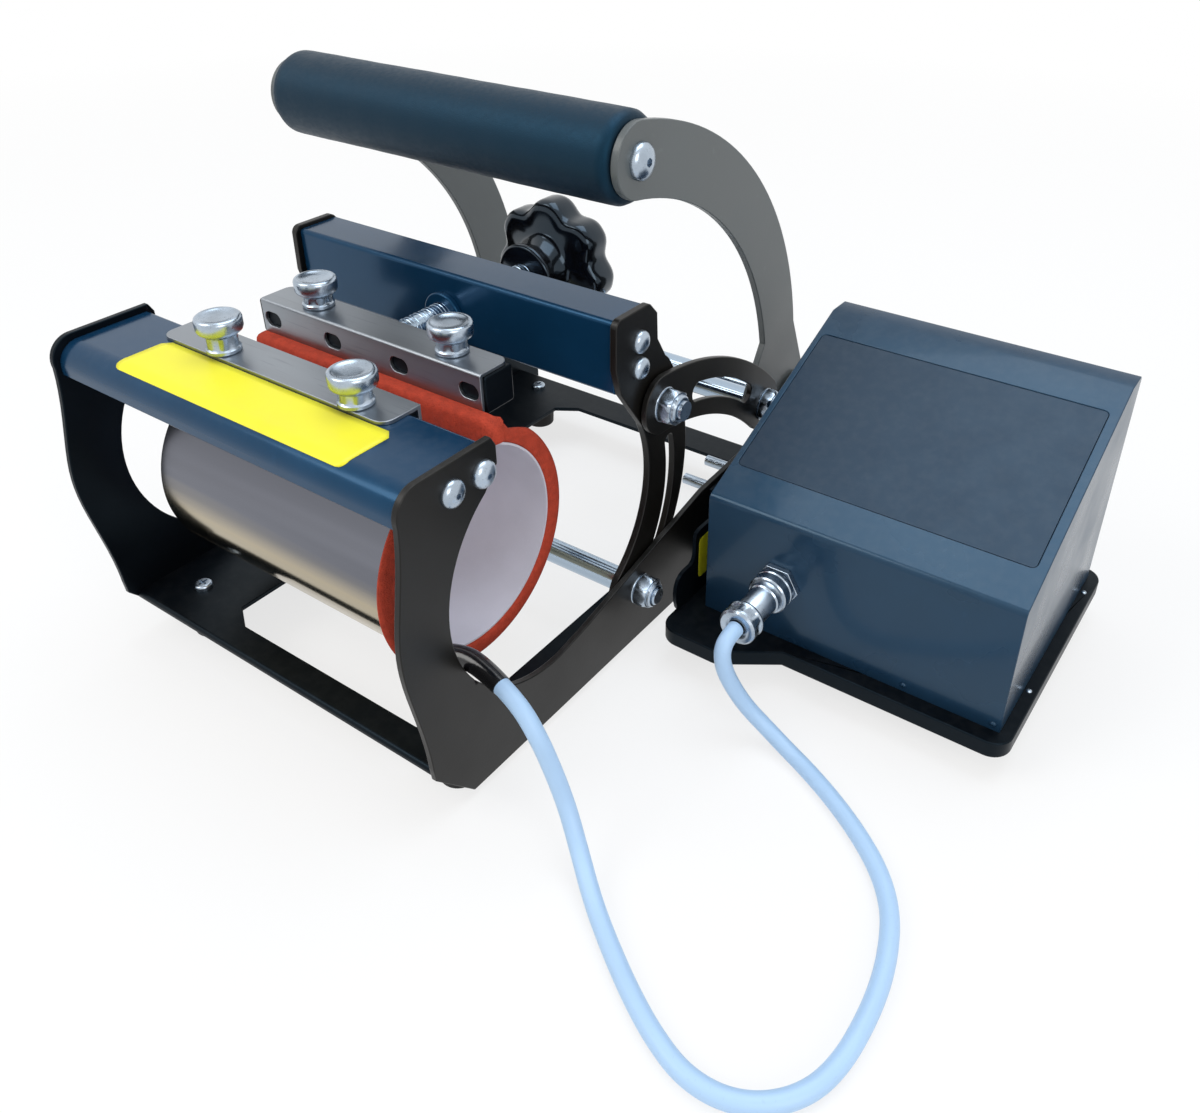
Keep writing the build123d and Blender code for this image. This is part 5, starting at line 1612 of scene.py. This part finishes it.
@dataclass
class HeaterCable:
    """Pale cable from the heater's sleeve round to the box, with its plug."""

    shop: Workshop
    diameter: float = 6.5
    length: float = 386.6
    socket_x: float = 146.3
    socket_height: float = 46.5
    plug_start: float = 100.2
    clamp_start: float = 78.0
    sleeve_radii: tuple[float, ...] = (4.3, 4.3, 4.15, 3.95, 3.6)
    sleeve_route: tuple[Spot, ...] = (
        (62.8, -15.8, 57.8), (69.0, -16.8, 57.4), (83.0, -10.4, 60.4), (93.0, -10.0, 60.4),
        (104.0, -12.4, 58.8),
    )
    route: tuple[Spot, ...] = (
        (104.0, -12.4, 58.8), (112.8, -14.32, 57.52), (121.0, -15.0, 48.0), (126.0, -14.0, 34.0),
        (132.0, -14.6, 20.0), (141.5, -20.5, 9.5), (154.0, -30.0, 4.6), (168.0, -39.5, 3.5),
        (182.0, -48.2, 3.3), (195.0, -55.0, 3.5), (208.0, -59.4, 3.3), (221.0, -58.8, 3.5),
        (232.0, -52.8, 3.3), (240.0, -43.0, 3.5), (243.4, -30.5, 3.3), (243.8, -16.0, 3.5),
        (242.6, -2.0, 3.3), (239.5, 11.0, 3.5), (234.5, 23.5, 3.3), (226.0, 34.5, 3.5),
        (214.0, 44.5, 3.3), (199.5, 53.5, 3.5), (185.0, 60.8, 3.5), (173.5, 65.0, 4.4),
        (163.5, 66.6, 8.6), (155.8, 64.8, 16.0), (150.8, 62.2, 25.5), (147.8, 59.8, 35.0),
        (146.5, 59.8, 42.3), (146.3, 63.5, 46.5), (146.3, 70.0, 46.5),
    )

    def spline(
        self, name: str, route: Sequence[Spot], radii: Sequence[float], finish: str
    ) -> bpy.types.Object:
        """Round NURBS cord through a route's points.

        Args:
            name: the piece's name.
            route: control points in bench millimetres.
            radii: radius in millimetres at each point.
            finish: the name of the finish.

        Returns:
            The curve object.
        """
        curve = bpy.data.curves.new(name, "CURVE")
        curve.dimensions = "3D"
        curve.bevel_depth = MM
        curve.bevel_resolution = 6
        curve.resolution_u = 10
        curve.use_fill_caps = True
        line = curve.splines.new("NURBS")
        line.points.add(len(route) - 1)
        for point, spot, radius in zip(line.points, route, radii):
            point.co = (*at(*spot), 1.0)
            point.radius = radius
        line.order_u = 3
        line.use_endpoint_u = True
        line.use_smooth = True
        return self.shop.place(name, curve, finish)

    def build(self) -> None:
        """Build the cable, its shrunk sleeve and the plug."""
        plug = self.plug()
        clamp = self.clamp()
        sleeve = self.spline("cable_shrink_sleeve", self.sleeve_route, self.sleeve_radii, "heat shrink")
        self.shop.settle(sleeve, Body.FRAME.value, "cable_sleeve")
        radii = [self.diameter / 2] * len(self.route)
        cable = self.spline("pale_heater_cable", self.route, radii, "cable sleeving")
        self.shop.settle(cable, Body.FRAME.value, "heater_cable")

    def plug(self) -> bpy.types.Object:
        """Plug: nut over the socket, shoulder and long barrel, turned in one piece."""
        rings = [
            Ring(7.05, 0.0), Ring(7.9, 0.0), Ring(8.3, 0.5), Ring(8.3, 2.0), Ring(7.9, 2.4),
            Ring(8.2, 2.8), Ring(8.2, 6.4), Ring(7.7, 7.0), Ring(6.9, 7.2), Ring(6.6, 8.0),
            Ring(6.6, 9.6), Ring(6.1, 10.2), Ring(6.0, 10.8), Ring(6.0, 20.6), Ring(5.6, 21.4),
            Ring(5.6, 22.2), Ring(3.3, 22.2), Ring(3.3, 2.4), Ring(7.05, 2.4), Ring(7.05, 0.0),
        ]
        shape = Turning(rings, 56).shape(-TO_BACK, at(self.socket_x, self.plug_start, self.socket_height))
        plug = self.shop.made("plug_turned", shape, "bright zinc", TURNED_ANGLE)
        return self.shop.settle(plug, Body.FRAME.value, "cable_plug")

    def clamp(self) -> bpy.types.Object:
        """Clamp nut at the plug's end, with flats between two round rims."""
        rings = [
            Ring(3.3, 0.0), Ring(6.6, 0.0), Ring(7.6, 0.5), Ring(7.8, 1.3), Ring(7.5, 2.1),
            Ring(7.6, 2.5, 13.8), Ring(7.6, 5.4, 13.8), Ring(7.7, 5.9), Ring(7.6, 7.0), Ring(6.8, 7.8),
            Ring(5.4, 8.0), Ring(4.4, 7.6), Ring(3.3, 7.2), Ring(3.3, 0.0),
        ]
        shape = Turning(rings, 60).shape(-TO_BACK, at(self.socket_x, self.clamp_start, self.socket_height))
        clamp = self.shop.made("cord_clamp", shape, "bright zinc", TURNED_ANGLE)
        return self.shop.settle(clamp, Body.FRAME.value, "plug_clamp")


@dataclass
class Studio:
    """Plain pale floor, soft lamps and the camera at the photograph's angle."""

    eye: Spot = (295.42, -204.9, 314.29)
    yaw: float = 34.926
    pitch: float = 31.741
    focal_pixels: float = 1085.3
    frame_width: float = 1200.0
    frame_height: float = 1113.0
    centre_x: float = 641.7
    centre_y: float = 456.4
    target: Spot = (0.08, 0.06, 0.0)
    floor_half: float = 6.0
    floor_grey: float = 0.9
    white_from: float = 0.35
    white_to: float = 1.3
    near_white: float = 0.74
    world_light: float = 0.5

    def build(self) -> None:
        """Set up the floor, light and camera."""
        self.camera()
        self.floor()
        self.world()
        self.lamp("key lamp", (-0.7, -0.9, 1.25), 0.9, 10.0, (1.0, 0.98, 0.95))
        self.lamp("sky lamp", (0.2, 0.35, 1.5), 1.2, 13.0, (0.8, 0.9, 1.0))
        self.lamp("side lamp", (1.3, -0.6, 0.7), 0.8, 6.0, (1.0, 0.98, 0.96))

    def camera(self) -> None:
        """Camera solved from the photograph's straight edges."""
        data = bpy.data.cameras.new("photo camera")
        data.sensor_fit = "HORIZONTAL"
        data.sensor_width = 36.0
        data.lens = self.focal_pixels / self.frame_width * data.sensor_width
        data.shift_x = (self.frame_width / 2 - self.centre_x) / self.frame_width
        data.shift_y = (self.centre_y - self.frame_height / 2) / self.frame_width
        data.clip_start = 0.01
        camera = bpy.data.objects.new("photo camera", data)
        camera.location = at(*self.eye)
        camera.rotation_euler = (math.radians(90.0 - self.pitch), 0.0, math.radians(self.yaw))
        bpy.context.scene.collection.objects.link(camera)
        bpy.context.scene.camera = camera

    def pale(self, sheet: NodeSheet) -> bpy.types.NodeSocket:
        """Value of 1 for rays that see the background: camera, glossy and transmission."""
        path = sheet.add("ShaderNodeLightPath")
        seen = sheet.maths("MAXIMUM", path.outputs["Is Camera Ray"], path.outputs["Is Glossy Ray"])
        return sheet.maths("MAXIMUM", seen, path.outputs["Is Transmission Ray"])

    def floor(self) -> None:
        """Floor that looks white and still takes the object's soft shadow."""
        half = self.floor_half
        height = at(0, 0, 0).z
        mesh = bpy.data.meshes.new("studio_floor")
        corners = ((-half, -half), (half, -half), (half, half), (-half, half))
        mesh.from_pydata([(x, y, height) for x, y in corners], [], [(0, 1, 2, 3)])
        floor = bpy.data.objects.new("studio_floor", mesh)
        bpy.context.scene.collection.objects.link(floor)
        material = bpy.data.materials.new("floor white")
        material.use_nodes = True
        sheet = NodeSheet(material.node_tree)
        shader = material.node_tree.nodes["Principled BSDF"]
        shader.inputs["Base Color"].default_value = (self.floor_grey, self.floor_grey, self.floor_grey, 1.0)
        shader.inputs["Roughness"].default_value = 0.9
        glow = sheet.add("ShaderNodeEmission", Color=(1.0, 1.0, 1.0, 1.0), Strength=1.0)
        away = sheet.add("ShaderNodeVectorMath", {"operation": "LENGTH"})
        sheet.feed(away.inputs[0], sheet.add("ShaderNodeTexCoord").outputs["Object"])
        whiter = sheet.ramp(away.outputs["Value"], self.white_from, self.white_to, (self.near_white, 1.0))
        share = sheet.maths("MULTIPLY", self.pale(sheet), whiter)
        mixed = sheet.add("ShaderNodeMixShader")
        sheet.feed(mixed.inputs[0], share)
        sheet.feed(mixed.inputs[1], shader.outputs[0])
        sheet.feed(mixed.inputs[2], glow.outputs[0])
        sheet.feed(material.node_tree.nodes["Material Output"].inputs["Surface"], mixed.outputs[0])
        mesh.materials.append(material)

    def world(self) -> None:
        """World that is white to the eye and softer as a light."""
        world = bpy.data.worlds.new("studio world")
        bpy.context.scene.world = world
        world.use_nodes = True
        sheet = NodeSheet(world.node_tree)
        back = world.node_tree.nodes["Background"]
        back.inputs["Color"].default_value = (1.0, 1.0, 1.0, 1.0)
        level = sheet.ramp(self.pale(sheet), 0.0, 1.0, (self.world_light, 1.0))
        sheet.feed(back.inputs["Strength"], level)

    def lamp(self, name: str, place: Spot, size: float, power: float, colour: Colour) -> None:
        """Square soft lamp that points at the press.

        Args:
            name: the lamp's name.
            place: where it hangs, in the row frame.
            size: its width in metres.
            power: its power in watts.
            colour: its colour.
        """
        data = bpy.data.lights.new(name, "AREA")
        data.shape = "SQUARE"
        data.size = size
        data.energy = power
        data.color = colour
        lamp = bpy.data.objects.new(name, data)
        lamp.location = place
        aim = Vector(self.target) - Vector(place)
        lamp.rotation_euler = aim.to_track_quat("-Z", "Y").to_euler()
        bpy.context.scene.collection.objects.link(lamp)


def main() -> None:
    """Build the press's looks around its frame."""
    logging.basicConfig(level=logging.INFO, format="%(name)s: %(message)s")
    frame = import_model()
    bpy.context.scene.view_settings.view_transform = "Standard"
    shop = Workshop(frame)
    scatter = Scatter(shop)
    thread = Thread(shop)
    Studio().build()
    HeaterCable(shop).build()
    PressFrame(shop, scatter).build()
    ClampFrame(shop, scatter, thread).build()
    ThumbScrews(shop).build()
    Heater(shop).build()
    Handle(shop, scatter).build()
    ControlBox(shop, scatter).build()


if __name__ == "__main__":
    main()
